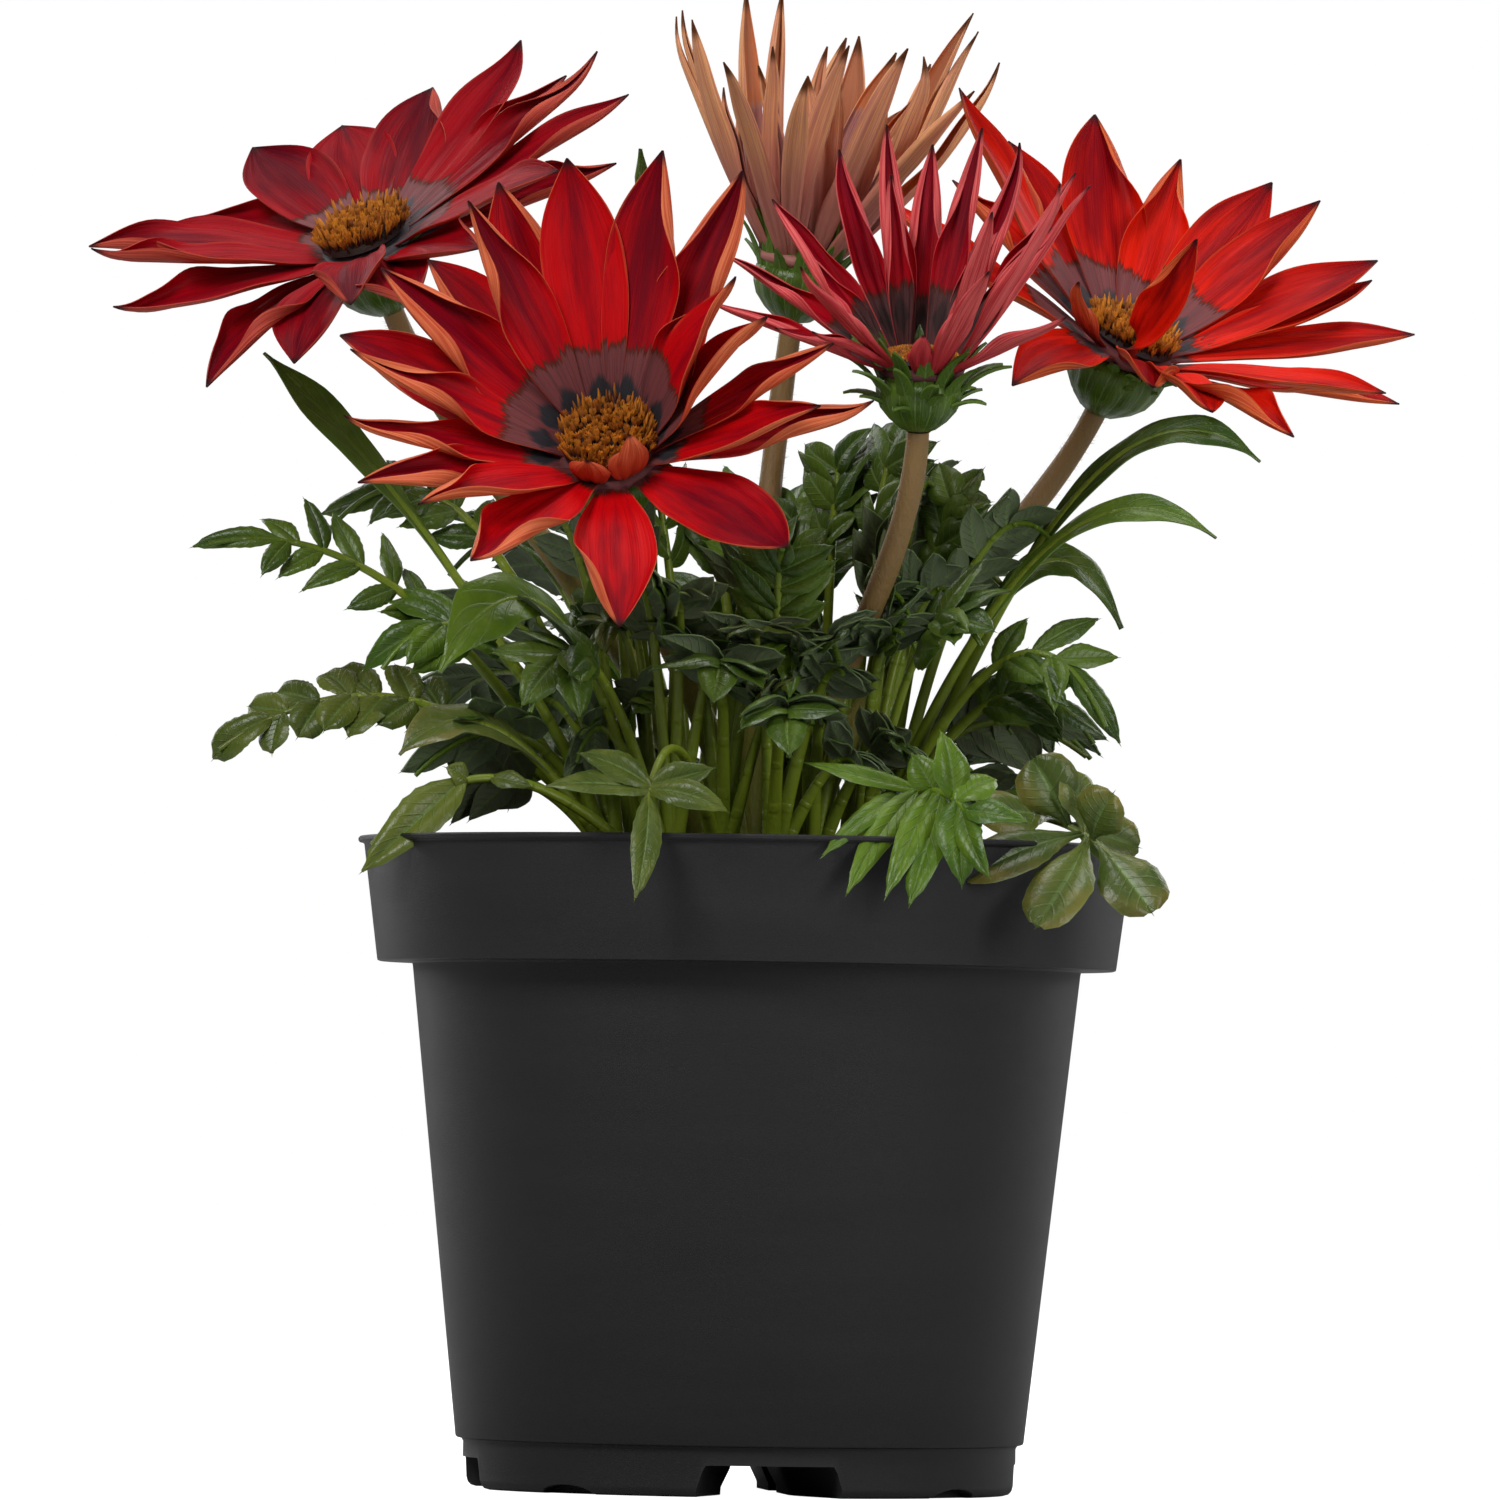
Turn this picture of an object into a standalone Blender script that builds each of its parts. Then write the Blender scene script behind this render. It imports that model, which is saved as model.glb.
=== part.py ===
"""A gazania in bloom, growing in a round black nursery pot.

Leaf tufts and flower stems stand in plain holes in the potting soil. Each of the five
blooms is a stem, a green calyx cup, a ring of fused ray petals and a disc of florets.
The pot's axis is the design's own centre; everything hangs on one empty, which is moved
at the end so that the world origin is the bottom centre of the whole plant.
"""

import math
from typing import NamedTuple

import bmesh
import bpy
import numpy as np
from mathutils import Matrix, Vector

MM = 0.001
FIT_GAP = 0.3 * MM

# Pot: outer radii and heights, then the wall and the moulded foot.
LIP_RADIUS = 65.0 * MM
POT_HEIGHT = 108.0 * MM
LIP_THICKNESS = 1.0 * MM
COLLAR_TOP_RADIUS = 64.0 * MM
COLLAR_BOTTOM_RADIUS = 61.6 * MM
COLLAR_BOTTOM_Z = 87.3 * MM
BODY_TOP_RADIUS = 55.7 * MM
BODY_BOTTOM_RADIUS = 47.3 * MM
FOOT_RADIUS = 46.0 * MM
FOOT_HEIGHT = 8.4 * MM
FOOT_ROUND = 1.3 * MM
WALL = 1.2 * MM
FLOOR_Z = 7.0 * MM
POCKET_Z = 1.5 * MM
POCKET_CORNERS = (
    (9.0 * MM, 9.0 * MM),
    (30.0 * MM, 11.0 * MM),
    (38.0 * MM, 14.0 * MM),
    (28.6 * MM, 28.6 * MM),
    (14.0 * MM, 38.0 * MM),
    (11.0 * MM, 30.0 * MM),
)
CHANNEL_HEIGHT = 5.2 * MM
CHANNEL_STATIONS = (
    (-50.0 * MM, 10.7 * MM, 10.9 * MM),
    (-26.0 * MM, 4.6 * MM, 7.2 * MM),
    (26.0 * MM, 4.6 * MM, 7.2 * MM),
    (50.0 * MM, 10.7 * MM, 10.9 * MM),
)
NOTCH_WIDTH = 10.8 * MM
NOTCH_HEIGHT = 1.5 * MM
DRAIN_RADIUS = 3.0 * MM
DRAIN_RING = 26.0 * MM
FOOT_TURN_DEGREES = 6.5
POT_SEGMENTS = 40

# Soil: its edge stands this far below the lip, and it rises to the middle.
SOIL_EDGE_Z = 97.0 * MM
SOIL_Z = 99.0 * MM
SOIL_MOUND = 1.0 * MM
HOLE_DEPTH = 6.0 * MM
HOLE_CLEARANCE = 0.35 * MM
HOLE_SIDES = 6

# Flower parts, for a bloom of size 1. Heights run along the bloom's own axis.
CORE_RADIUS = 7.8 * MM
PETAL_ROOT = 6.6 * MM
PETAL_THICKNESS = 0.7 * MM
PETAL_STATIONS = (0.0, 0.36, 0.74)
CALYX_DEPTH = 12.5 * MM
STEM_RADIUS = 2.0 * MM
STEM_FLARE = 1.2
STEM_SIDES = 6
STEM_STEPS = 8

# Leaves.
LEAF_THICKNESS = 0.8 * MM
PETIOLE_HALF_WIDTH = 1.0 * MM
PETIOLE_THICKNESS = 1.7 * MM
TUFT_RADIUS = 2.6 * MM
TUFT_HEIGHT = 4.0 * MM
BLADE_START = 0.42
TERMINAL_SHARE = 0.3


class Petal(NamedTuple):
    """One ray petal, in its bloom's frame: degrees, and millimetres from the axis to the tip."""

    turn: float
    lift: float
    length: float
    arch: float = 0.0
    curl: float = 30.0
    twist: float = 0.0
    width: float = 14.0


class Bloom(NamedTuple):
    """A bloom: millimetres from the pot's axis, degrees of its facing, and of its petals' extra lift."""

    name: str
    centre: tuple
    facing: float
    rise: float
    size: float
    root: tuple
    colour: tuple
    petals: list
    cupping: float


class Leaf(NamedTuple):
    """One leaf: plan azimuth of its tip from +X, then millimetres from the axis and the soil."""

    azimuth: float
    reach: float
    tip: float
    arch: float
    lean: float = 0.5
    pairs: int = 3
    leaflet: float = 15.0
    width: float = 3.4
    roll: float = 0.0


class Tuft(NamedTuple):
    """Leaves that grow from one shoot, and where that shoot stands in the soil."""

    azimuth: float
    radius: float
    leaves: list


FRONT_PETALS = [
    Petal(26, 52, 42, arch=-20, curl=40, twist=-60),
    Petal(42, 48, 30, arch=10, curl=60, width=11),
    Petal(62, 30, 53, arch=10, curl=35, twist=20),
    Petal(80, 35, 52, arch=10, curl=45, twist=-15),
    Petal(101, 34, 51, arch=5, curl=30),
    Petal(118, 28, 51, arch=10, curl=25, twist=10, width=16),
    Petal(130, 40, 49, arch=15, curl=60, twist=30, width=12),
    Petal(136, 17, 47, arch=10, curl=40),
    Petal(151, 27, 49, arch=10, curl=35, twist=15, width=15),
    Petal(165, 18, 49, arch=10, curl=40),
    Petal(179, 30, 48, arch=5, curl=60, twist=35, width=12),
    Petal(194, 24, 48, arch=5, curl=60, twist=30, width=11),
    Petal(210, 22, 47, arch=5, curl=45, twist=20),
    Petal(230, 28, 46, arch=-5, curl=60, twist=30, width=12),
    Petal(247, 18, 46, arch=-10, curl=40, twist=15),
    Petal(279, 0, 42, arch=-35, curl=20),
    Petal(302, 72, 20, arch=60, curl=60, width=8),
    Petal(322, 5, 44, arch=-20, curl=30, twist=-15, width=15),
    Petal(345, 30, 45, arch=5, curl=60, width=11),
    Petal(357, 16, 49, arch=0, curl=50, twist=-20, width=12),
    Petal(10, 46, 42, arch=-15, curl=45, twist=-60),
]

LEFT_PETALS = [
    Petal(3, 12, 46, arch=-10, curl=40),
    Petal(19, 3, 48, arch=0, curl=45),
    Petal(34, 9, 52, arch=-5, curl=60, width=12),
    Petal(50, 14, 51, arch=0, curl=50, width=12),
    Petal(66, 10, 46, arch=5, curl=40),
    Petal(82, 12, 49, arch=5, curl=45, width=13),
    Petal(106, 9, 44, arch=0, curl=25, width=17),
    Petal(128, 7, 42, arch=0, curl=35, width=16),
    Petal(150, 6, 45, arch=-10, curl=30, width=15),
    Petal(166, -4, 47, arch=-15, curl=30),
    Petal(190, 6, 46, arch=-5, curl=30, width=15),
    Petal(212, 18, 47, arch=-5, curl=35),
    Petal(231, 20, 48, arch=-5, curl=50, twist=20),
    Petal(245, 10, 48, arch=-5, curl=35, twist=10, width=17),
    Petal(263, -6, 44, arch=-25, curl=35),
    Petal(284, -10, 36, arch=-40, curl=60),
    Petal(302, 2, 32, arch=-50, curl=60),
    Petal(320, 0, 38, arch=-25, curl=40),
    Petal(340, 6, 38, arch=-15, curl=40),
]

RIGHT_PETALS = [
    Petal(7, 36, 48, arch=5, curl=45, twist=-15, width=12),
    Petal(24, 33, 47, arch=5, curl=45, width=12),
    Petal(47, 28, 46, arch=5, curl=50, width=12),
    Petal(67, 26, 50, arch=15, curl=25, width=17),
    Petal(92, 20, 44, arch=10, curl=40),
    Petal(112, 10, 42, arch=0, curl=45, width=12),
    Petal(128, 29, 54, arch=5, curl=30, width=15),
    Petal(141, 4, 51, arch=0, curl=45, width=12),
    Petal(163, 6, 38, arch=-10, curl=50, width=12),
    Petal(182, 30, 27, arch=35, curl=70, width=7),
    Petal(194, -12, 38, arch=-50, curl=55, width=12),
    Petal(224, 64, 36, arch=10, curl=50, width=8),
    Petal(231, 4, 26, arch=-60, curl=45, width=12),
    Petal(252, 4, 32, arch=-45, curl=50, width=12),
    Petal(268, 6, 41, arch=-25, curl=40),
    Petal(290, 18, 48, arch=-5, curl=45, width=13),
    Petal(311, 11, 47, arch=-5, curl=50, width=12),
    Petal(330, 20, 50, arch=0, curl=45, width=12),
    Petal(347, 32, 49, arch=0, curl=45, width=12),
]

HALF_OPEN_PETALS = [
    Petal(0, 54, 44, arch=10, curl=75, width=10),
    Petal(22, 54, 44, arch=10, curl=80, width=10),
    Petal(44, 58, 45, arch=10, curl=85, width=10),
    Petal(66, 60, 46, arch=10, curl=85, width=10),
    Petal(86, 56, 44, arch=15, curl=50, width=12),
    Petal(103, 58, 46, arch=10, curl=80, width=10),
    Petal(118, 50, 44, arch=10, curl=80, width=10),
    Petal(135, 36, 42, arch=5, curl=50, width=12),
    Petal(153, 24, 39, arch=0, curl=50, width=12),
    Petal(173, 14, 37, arch=0, curl=60, width=11),
    Petal(194, 18, 28, arch=0, curl=70, width=10),
    Petal(215, 36, 35, arch=5, curl=85, width=9),
    Petal(262, 45, 16, arch=20, curl=60, width=7),
    Petal(288, 44, 36, arch=5, curl=90, width=9),
    Petal(300, 59, 39, arch=5, curl=90, width=9),
    Petal(311, 24, 36, arch=0, curl=70, width=10),
    Petal(332, 54, 44, arch=10, curl=85, width=10),
]

FADING_PETALS = [
    Petal(-29, 60, 54, arch=45, curl=80, width=9),
    Petal(-11, 56, 51, arch=55, curl=85, width=8),
    Petal(9, 52, 49, arch=60, curl=80, width=8),
    Petal(27, 44, 48, arch=60, curl=85, width=8),
    Petal(45, 52, 49, arch=60, curl=80, width=8),
    Petal(63, 50, 49, arch=60, curl=85, width=8),
    Petal(83, 64, 51, arch=45, curl=80, width=8),
    Petal(101, 56, 52, arch=50, curl=85, width=8),
    Petal(122, 55, 50, arch=50, curl=80, width=9),
    Petal(145, 56, 49, arch=50, curl=85, width=8),
    Petal(173, 60, 51, arch=40, curl=80, width=9),
    Petal(198, 42, 51, arch=20, curl=70, width=8),
    Petal(212, 60, 49, arch=45, curl=85, width=8),
    Petal(240, 58, 49, arch=45, curl=80, width=9),
    Petal(264, 50, 47, arch=55, curl=85, width=8),
    Petal(287, 55, 48, arch=50, curl=80, width=8),
    Petal(309, 57, 52, arch=45, curl=85, width=9),
]

RED = (0.36, 0.006, 0.010)
DARK_RED = (0.22, 0.004, 0.012)
SCARLET = (0.50, 0.020, 0.008)
ROSE = (0.42, 0.030, 0.045)
TAN = (0.42, 0.22, 0.14)

BLOOMS = [
    Bloom("front_bloom", (-23.8, -46.0, 170.6), -8, 40, 1.0, (-2.0, -9.0), RED, FRONT_PETALS, 4),
    Bloom("left_bloom", (-65.4, 4.0, 207.2), -39, 57, 1.0, (-9.0, 1.0), DARK_RED, LEFT_PETALS, 4),
    Bloom("right_bloom", (62.4, 12.0, 192.4), 48, 57, 1.0, (10.0, 2.0), SCARLET, RIGHT_PETALS, 6),
    Bloom("half_open_bloom", (27.0, -40.0, 185.6), 5, 75, 0.85, (7.0, -11.0), ROSE, HALF_OPEN_PETALS, 4),
    Bloom("fading_bloom", (7.5, 34.0, 208.2), 40, 78, 0.9, (0.0, 10.0), TAN, FADING_PETALS, 7),
]

TUFTS = [
    Tuft(172, 19, [
        Leaf(174, 83, 90, 62, lean=0.5, pairs=0, width=3.4),
        Leaf(166, 77, 56, 96, lean=0.55),
        Leaf(180, 90, 24, 52, lean=0.5, pairs=4, leaflet=11, width=3.8),
    ]),
    Tuft(194, 22, [
        Leaf(188, 94, 56, 68, lean=0.5),
        Leaf(199, 67, 32, 66, lean=0.6, pairs=2, leaflet=14),
        Leaf(201, 62, 22, 40, lean=0.6, pairs=0, width=4.2),
    ]),
    Tuft(212, 18, [
        Leaf(217, 64, 35, 72, lean=0.5, pairs=0, width=5.5),
        Leaf(206, 72, 3, 34, lean=0.6, pairs=1, leaflet=11, width=4.0),
    ]),
    Tuft(234, 22, [
        Leaf(228, 56, 24, 62, lean=0.6),
        Leaf(238, 40, 46, 66, lean=0.5, pairs=3, leaflet=13),
    ]),
    Tuft(256, 18, [
        Leaf(256, 77, -3, 46, lean=0.7, pairs=2, leaflet=17, width=4.0),
        Leaf(262, 44, 28, 56, lean=0.5, pairs=3, leaflet=13),
    ]),
    Tuft(280, 22, [
        Leaf(277, 54, 18, 48, lean=0.6, pairs=3, leaflet=13),
        Leaf(278, 36, 56, 62, lean=0.4, leaflet=12),
    ]),
    Tuft(304, 19, [
        Leaf(308, 73, 10, 42, lean=0.55, pairs=4, leaflet=15, width=3.6),
        Leaf(292, 40, 36, 54, lean=0.5, leaflet=11),
    ]),
    Tuft(326, 22, [
        Leaf(325, 84, 0, 40, lean=0.6, pairs=3, leaflet=15, width=5.4),
        Leaf(322, 50, 38, 64, lean=0.5, leaflet=14),
    ]),
    Tuft(347, 19, [
        Leaf(341, 68, 24, 74, lean=0.65, pairs=2, leaflet=15, width=3.8),
        Leaf(352, 60, 22, 54, lean=0.6, pairs=3, leaflet=13),
        Leaf(346, 79, 60, 82, lean=0.5, pairs=0, width=3.2),
    ]),
    Tuft(8, 22, [
        Leaf(-9, 85, 73, 98, lean=0.55, pairs=0, width=4.0),
        Leaf(14, 64, 46, 82, lean=0.6, pairs=0, width=4.8),
        Leaf(2, 40, 70, 76, lean=0.4, pairs=3, leaflet=12),
    ]),
    Tuft(32, 19, [
        Leaf(24, 78, 22, 62, lean=0.55),
        Leaf(38, 64, 48, 78, lean=0.5),
        Leaf(33, 42, 72, 76, lean=0.4, pairs=3, leaflet=13),
    ]),
    Tuft(58, 22, [
        Leaf(54, 82, 4, 46, lean=0.6),
        Leaf(62, 62, 36, 70, lean=0.5),
    ]),
    Tuft(86, 19, [
        Leaf(84, 74, 20, 60, lean=0.55, leaflet=13),
        Leaf(78, 54, 52, 78, lean=0.5),
        Leaf(104, 40, 60, 82, lean=0.45, leaflet=12),
        Leaf(52, 35, 72, 90, lean=0.4, leaflet=12),
    ]),
    Tuft(114, 22, [
        Leaf(110, 82, 6, 46, lean=0.6),
        Leaf(118, 60, 40, 72, lean=0.5),
    ]),
    Tuft(142, 19, [
        Leaf(138, 78, 22, 62, lean=0.55),
        Leaf(145, 66, 50, 84, lean=0.5),
        Leaf(122, 38, 127, 70, lean=0.7, pairs=0, width=2.4),
    ]),
]


def clear_scene():
    """Removes the objects that Blender starts with."""
    for obj in list(bpy.data.objects):
        bpy.data.objects.remove(obj)


def material(name, colour, roughness, metallic=0.0):
    """A plain Principled material."""
    made = bpy.data.materials.new(name)
    made.use_nodes = True
    shader = made.node_tree.nodes["Principled BSDF"]
    shader.inputs["Base Color"].default_value = (*colour, 1.0)
    shader.inputs["Roughness"].default_value = roughness
    shader.inputs["Metallic"].default_value = metallic
    made.diffuse_color = (*colour, 1.0)
    return made


def object_of(name, mesh, finish):
    """A mesh as a named object in the scene."""
    mesh.materials.clear()
    mesh.materials.append(finish)
    obj = bpy.data.objects.new(name, mesh)
    bpy.context.scene.collection.objects.link(obj)
    return obj


def mesh_of(points, faces):
    """A triangulated mesh from points and faces whose normals point out."""
    mesh = bpy.data.meshes.new("solid")
    mesh.from_pydata([tuple(p) for p in points], [], faces)
    shape = bmesh.new()
    shape.from_mesh(mesh)
    bmesh.ops.triangulate(shape, faces=shape.faces[:])
    bmesh.ops.recalc_face_normals(shape, faces=shape.faces[:])
    shape.to_mesh(mesh)
    shape.free()
    return mesh


def turned(rings, segments):
    """A closed solid of revolution. Each ring gives a radius and height for an even and an odd segment."""
    first, last = rings[0], rings[-1]
    points = [Vector((0, 0, first[0][1])), Vector((0, 0, last[0][1]))]
    faces = []
    inner = rings[1:-1]
    for ring in inner:
        for step in range(segments):
            radius, height = ring[step % len(ring)]
            angle = math.tau * step / segments
            points.append(Vector((radius * math.cos(angle), radius * math.sin(angle), height)))
    for step in range(segments):
        following = (step + 1) % segments
        faces.append((0, 2 + following, 2 + step))
        top = 2 + (len(inner) - 1) * segments
        faces.append((1, top + step, top + following))
        for row in range(len(inner) - 1):
            low = 2 + row * segments
            high = low + segments
            faces.append((low + step, low + following, high + following, high + step))
    return mesh_of(points, faces)


def turned_profile(profile, segments):
    """A solid of revolution from a plain profile that starts and ends on the axis."""
    return turned([[point] for point in profile], segments)


def tube(path, radii, sides):
    """A closed tube along a path, with a ring square to it at each point."""
    points, faces = [], []
    last = len(path) - 1
    side = Vector((1, 0, 0))
    for index, (centre, radius) in enumerate(zip(path, radii)):
        along = (path[min(index + 1, last)] - path[max(index - 1, 0)]).normalized()
        side = (side - along * side.dot(along)).normalized()
        up = along.cross(side)
        for step in range(sides):
            angle = math.tau * step / sides
            points.append(centre + radius * (math.cos(angle) * side + math.sin(angle) * up))
    for index in range(last):
        for step in range(sides):
            following = (step + 1) % sides
            low = index * sides
            high = low + sides
            faces.append((low + step, low + following, high + following, high + step))
    faces.append(tuple(reversed(range(sides))))
    faces.append(tuple(range(last * sides, (last + 1) * sides)))
    return mesh_of(points, faces)


def sheet(points, normals, halves, faces):
    """A thin closed solid: a middle surface thickened by its own half thickness at each point.

    Quads are split the same way on both faces, so that the two never cross.
    """
    thirds = []
    for face in faces:
        thirds.append((face[0], face[1], face[2]))
        if len(face) == 4:
            thirds.append((face[0], face[2], face[3]))
    count = len(points)
    solid = [p + n * h for p, n, h in zip(points, normals, halves)]
    solid += [p - n * h for p, n, h in zip(points, normals, halves)]
    skin = list(thirds) + [(c + count, b + count, a + count) for a, b, c in thirds]
    edges = {}
    for a, b, c in thirds:
        for start, end in ((a, b), (b, c), (c, a)):
            edges[(start, end)] = True
    for start, end in edges:
        if (end, start) not in edges:
            skin.append((end, start, start + count))
            skin.append((end, start + count, end + count))
    return mesh_of(solid, skin)


def fused(name, meshes, finish):
    """Several closed meshes joined into one body by one Boolean union on a collection."""
    base = object_of(name, meshes[0], finish)
    others = bpy.data.collections.new(name + "_pieces")
    bpy.context.scene.collection.children.link(others)
    for mesh in meshes[1:]:
        mesh.materials.clear()
        mesh.materials.append(finish)
        others.objects.link(bpy.data.objects.new(name + "_piece", mesh))
    union = base.modifiers.new("join", "BOOLEAN")
    union.operation = "UNION"
    union.operand_type = "COLLECTION"
    union.solver = "MANIFOLD"
    union.collection = others
    bpy.context.view_layer.update()
    graph = bpy.context.evaluated_depsgraph_get()
    joined = bpy.data.meshes.new_from_object(base.evaluated_get(graph))
    base.modifiers.clear()
    base.data = joined
    for piece in list(others.objects):
        bpy.data.objects.remove(piece)
    bpy.data.collections.remove(others)
    return base


def cut(obj, cutters):
    """Cuts each cutter mesh out of obj and applies the result."""
    for mesh in cutters:
        tool = bpy.data.objects.new(obj.name + "_cutter", mesh)
        tool.hide_render = True
        tool.display_type = "WIRE"
        bpy.context.scene.collection.objects.link(tool)
        slicing = obj.modifiers.new("cut", "BOOLEAN")
        slicing.operation = "DIFFERENCE"
        slicing.object = tool
        slicing.solver = "EXACT"
        bpy.context.view_layer.update()
        graph = bpy.context.evaluated_depsgraph_get()
        obj.data = bpy.data.meshes.new_from_object(obj.evaluated_get(graph))
        obj.modifiers.clear()
        bpy.data.objects.remove(tool)


def prism(outline, low, high):
    """A closed prism over a plan outline."""
    count = len(outline)
    points = [Vector((x, y, low)) for x, y in outline] + [Vector((x, y, high)) for x, y in outline]
    faces = [tuple(reversed(range(count))), tuple(range(count, 2 * count))]
    for step in range(count):
        following = (step + 1) % count
        faces.append((step, following, count + following, count + step))
    return mesh_of(points, faces)


def cylinder(radius, low, high, centre, sides, end=1.0):
    """A closed upright prism of round section, whose top radius is end times its bottom one."""
    path = [Vector((*centre, low)), Vector((*centre, high))]
    return tube(path, (radius, radius * end), sides)


def channel_cutter():
    """The drain channel that crosses under the floor along X: narrow inside, wide at the skirt."""
    below = -1.0 * MM
    points, faces = [], []
    for x, top, bottom in CHANNEL_STATIONS:
        middle = top + 0.3 * (bottom - top)
        section = (
            (-bottom, below), (-middle, CHANNEL_HEIGHT / 2), (-top, CHANNEL_HEIGHT),
            (top, CHANNEL_HEIGHT), (middle, CHANNEL_HEIGHT / 2), (bottom, below),
        )
        points += [Vector((x, y, z)) for y, z in section]
    sides = 6
    last = len(CHANNEL_STATIONS) - 1
    for row in range(last):
        for step in range(sides):
            following = (step + 1) % sides
            low = row * sides
            faces.append((low + step, low + following, low + sides + following, low + sides + step))
    faces.append(tuple(range(sides)))
    faces.append(tuple(range(last * sides, (last + 1) * sides)))
    return mesh_of(points, faces)


def pocket_outline(scale):
    """The plan of one hollow foot pad, between two channels, scaled about its own middle."""
    middle = Vector((22.0, 22.0)) * MM
    return [middle + (Vector(corner) - middle) * scale for corner in POCKET_CORNERS]


def turned_quarter(mesh, quarters):
    """A copy of a mesh, turned by whole quarters about the pot's axis."""
    copy = mesh.copy()
    copy.transform(Matrix.Rotation(quarters * math.pi / 2, 4, "Z"))
    return copy


def quarter_turns(mesh):
    """Four copies of a mesh, each turned a quarter further about the pot's axis."""
    return [turned_quarter(mesh, quarters) for quarters in range(4)]


def foot_turn():
    """How far the foot's channels, notches and pads are turned about the pot's axis."""
    return Matrix.Rotation(math.radians(FOOT_TURN_DEGREES), 4, "Z")


def build_pot(finish):
    """The moulded pot: lip, collar, tapered body, and a foot with pads, channels and drain holes."""
    profile = [
        (0, 0),
        (FOOT_RADIUS - FOOT_ROUND, 0),
        (FOOT_RADIUS, FOOT_ROUND),
        (FOOT_RADIUS, FOOT_HEIGHT - 0.6 * MM),
        (BODY_BOTTOM_RADIUS, FOOT_HEIGHT),
        (BODY_TOP_RADIUS, COLLAR_BOTTOM_Z),
        (COLLAR_BOTTOM_RADIUS, COLLAR_BOTTOM_Z),
        (COLLAR_TOP_RADIUS, POT_HEIGHT - LIP_THICKNESS),
        (LIP_RADIUS, POT_HEIGHT - 0.8 * LIP_THICKNESS),
        (LIP_RADIUS, POT_HEIGHT),
        (COLLAR_TOP_RADIUS - WALL, POT_HEIGHT),
        (COLLAR_BOTTOM_RADIUS - WALL, COLLAR_BOTTOM_Z + WALL),
        (BODY_TOP_RADIUS - WALL, COLLAR_BOTTOM_Z + WALL),
        (BODY_BOTTOM_RADIUS - 2 * WALL, FLOOR_Z),
        (0, FLOOR_Z),
    ]
    pot = object_of("pot", turned_profile(profile, POT_SEGMENTS), finish)
    channel = channel_cutter()
    channels = fused("channels", [channel, turned_quarter(channel, 1)], finish)
    half = NOTCH_WIDTH / 2
    inner, outer = FOOT_RADIUS - 3.4 * MM, FOOT_RADIUS + 4 * MM
    notch = prism([(inner, -half), (outer, -half), (outer, half), (inner, half)], -MM, NOTCH_HEIGHT)
    notch.transform(Matrix.Rotation(math.pi / 4, 4, "Z"))
    drain = cylinder(DRAIN_RADIUS, CHANNEL_HEIGHT - 2 * MM, FLOOR_Z + MM, (DRAIN_RING, 0), HOLE_SIDES)
    middle_drain = cylinder(DRAIN_RADIUS, CHANNEL_HEIGHT - 2 * MM, FLOOR_Z + MM, (0, 0), HOLE_SIDES)
    pocket = prism(pocket_outline(1.0), POCKET_Z, FLOOR_Z + MM)
    cutters = [channels.data, middle_drain]
    cutters += quarter_turns(notch) + quarter_turns(drain) + quarter_turns(pocket)
    bpy.data.objects.remove(channels)
    for cutter in cutters:
        cutter.transform(foot_turn())
    cut(pot, cutters)
    return pot


def build_soil(finish, holes):
    """The potting soil: it fills the pot and its foot pads, and has a plain hole for each stem."""
    gap = FIT_GAP
    profile = [
        (0, FLOOR_Z + gap),
        (BODY_BOTTOM_RADIUS - 2 * WALL - 1.5 * gap, FLOOR_Z + gap),
        (BODY_TOP_RADIUS - WALL - gap, COLLAR_BOTTOM_Z + WALL + gap),
        (COLLAR_BOTTOM_RADIUS - WALL - gap, COLLAR_BOTTOM_Z + WALL + gap),
        (COLLAR_BOTTOM_RADIUS - WALL + 0.6 * MM, SOIL_EDGE_Z),
        (0.6 * COLLAR_BOTTOM_RADIUS, SOIL_Z),
        (0, SOIL_Z + SOIL_MOUND),
    ]
    lug = prism(pocket_outline(0.96), POCKET_Z + gap, FLOOR_Z + MM)
    lug.transform(foot_turn())
    soil = fused("soil", [turned_profile(profile, POT_SEGMENTS), *quarter_turns(lug)], finish)
    bottom = SOIL_Z - HOLE_DEPTH
    cutters = []
    for centre, radius in holes:
        wide = (radius + HOLE_CLEARANCE) / math.cos(math.pi / HOLE_SIDES)
        cutters.append(cylinder(wide, bottom, SOIL_Z + 5 * MM, centre, HOLE_SIDES))
    cut(soil, cutters)
    return soil


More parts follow.
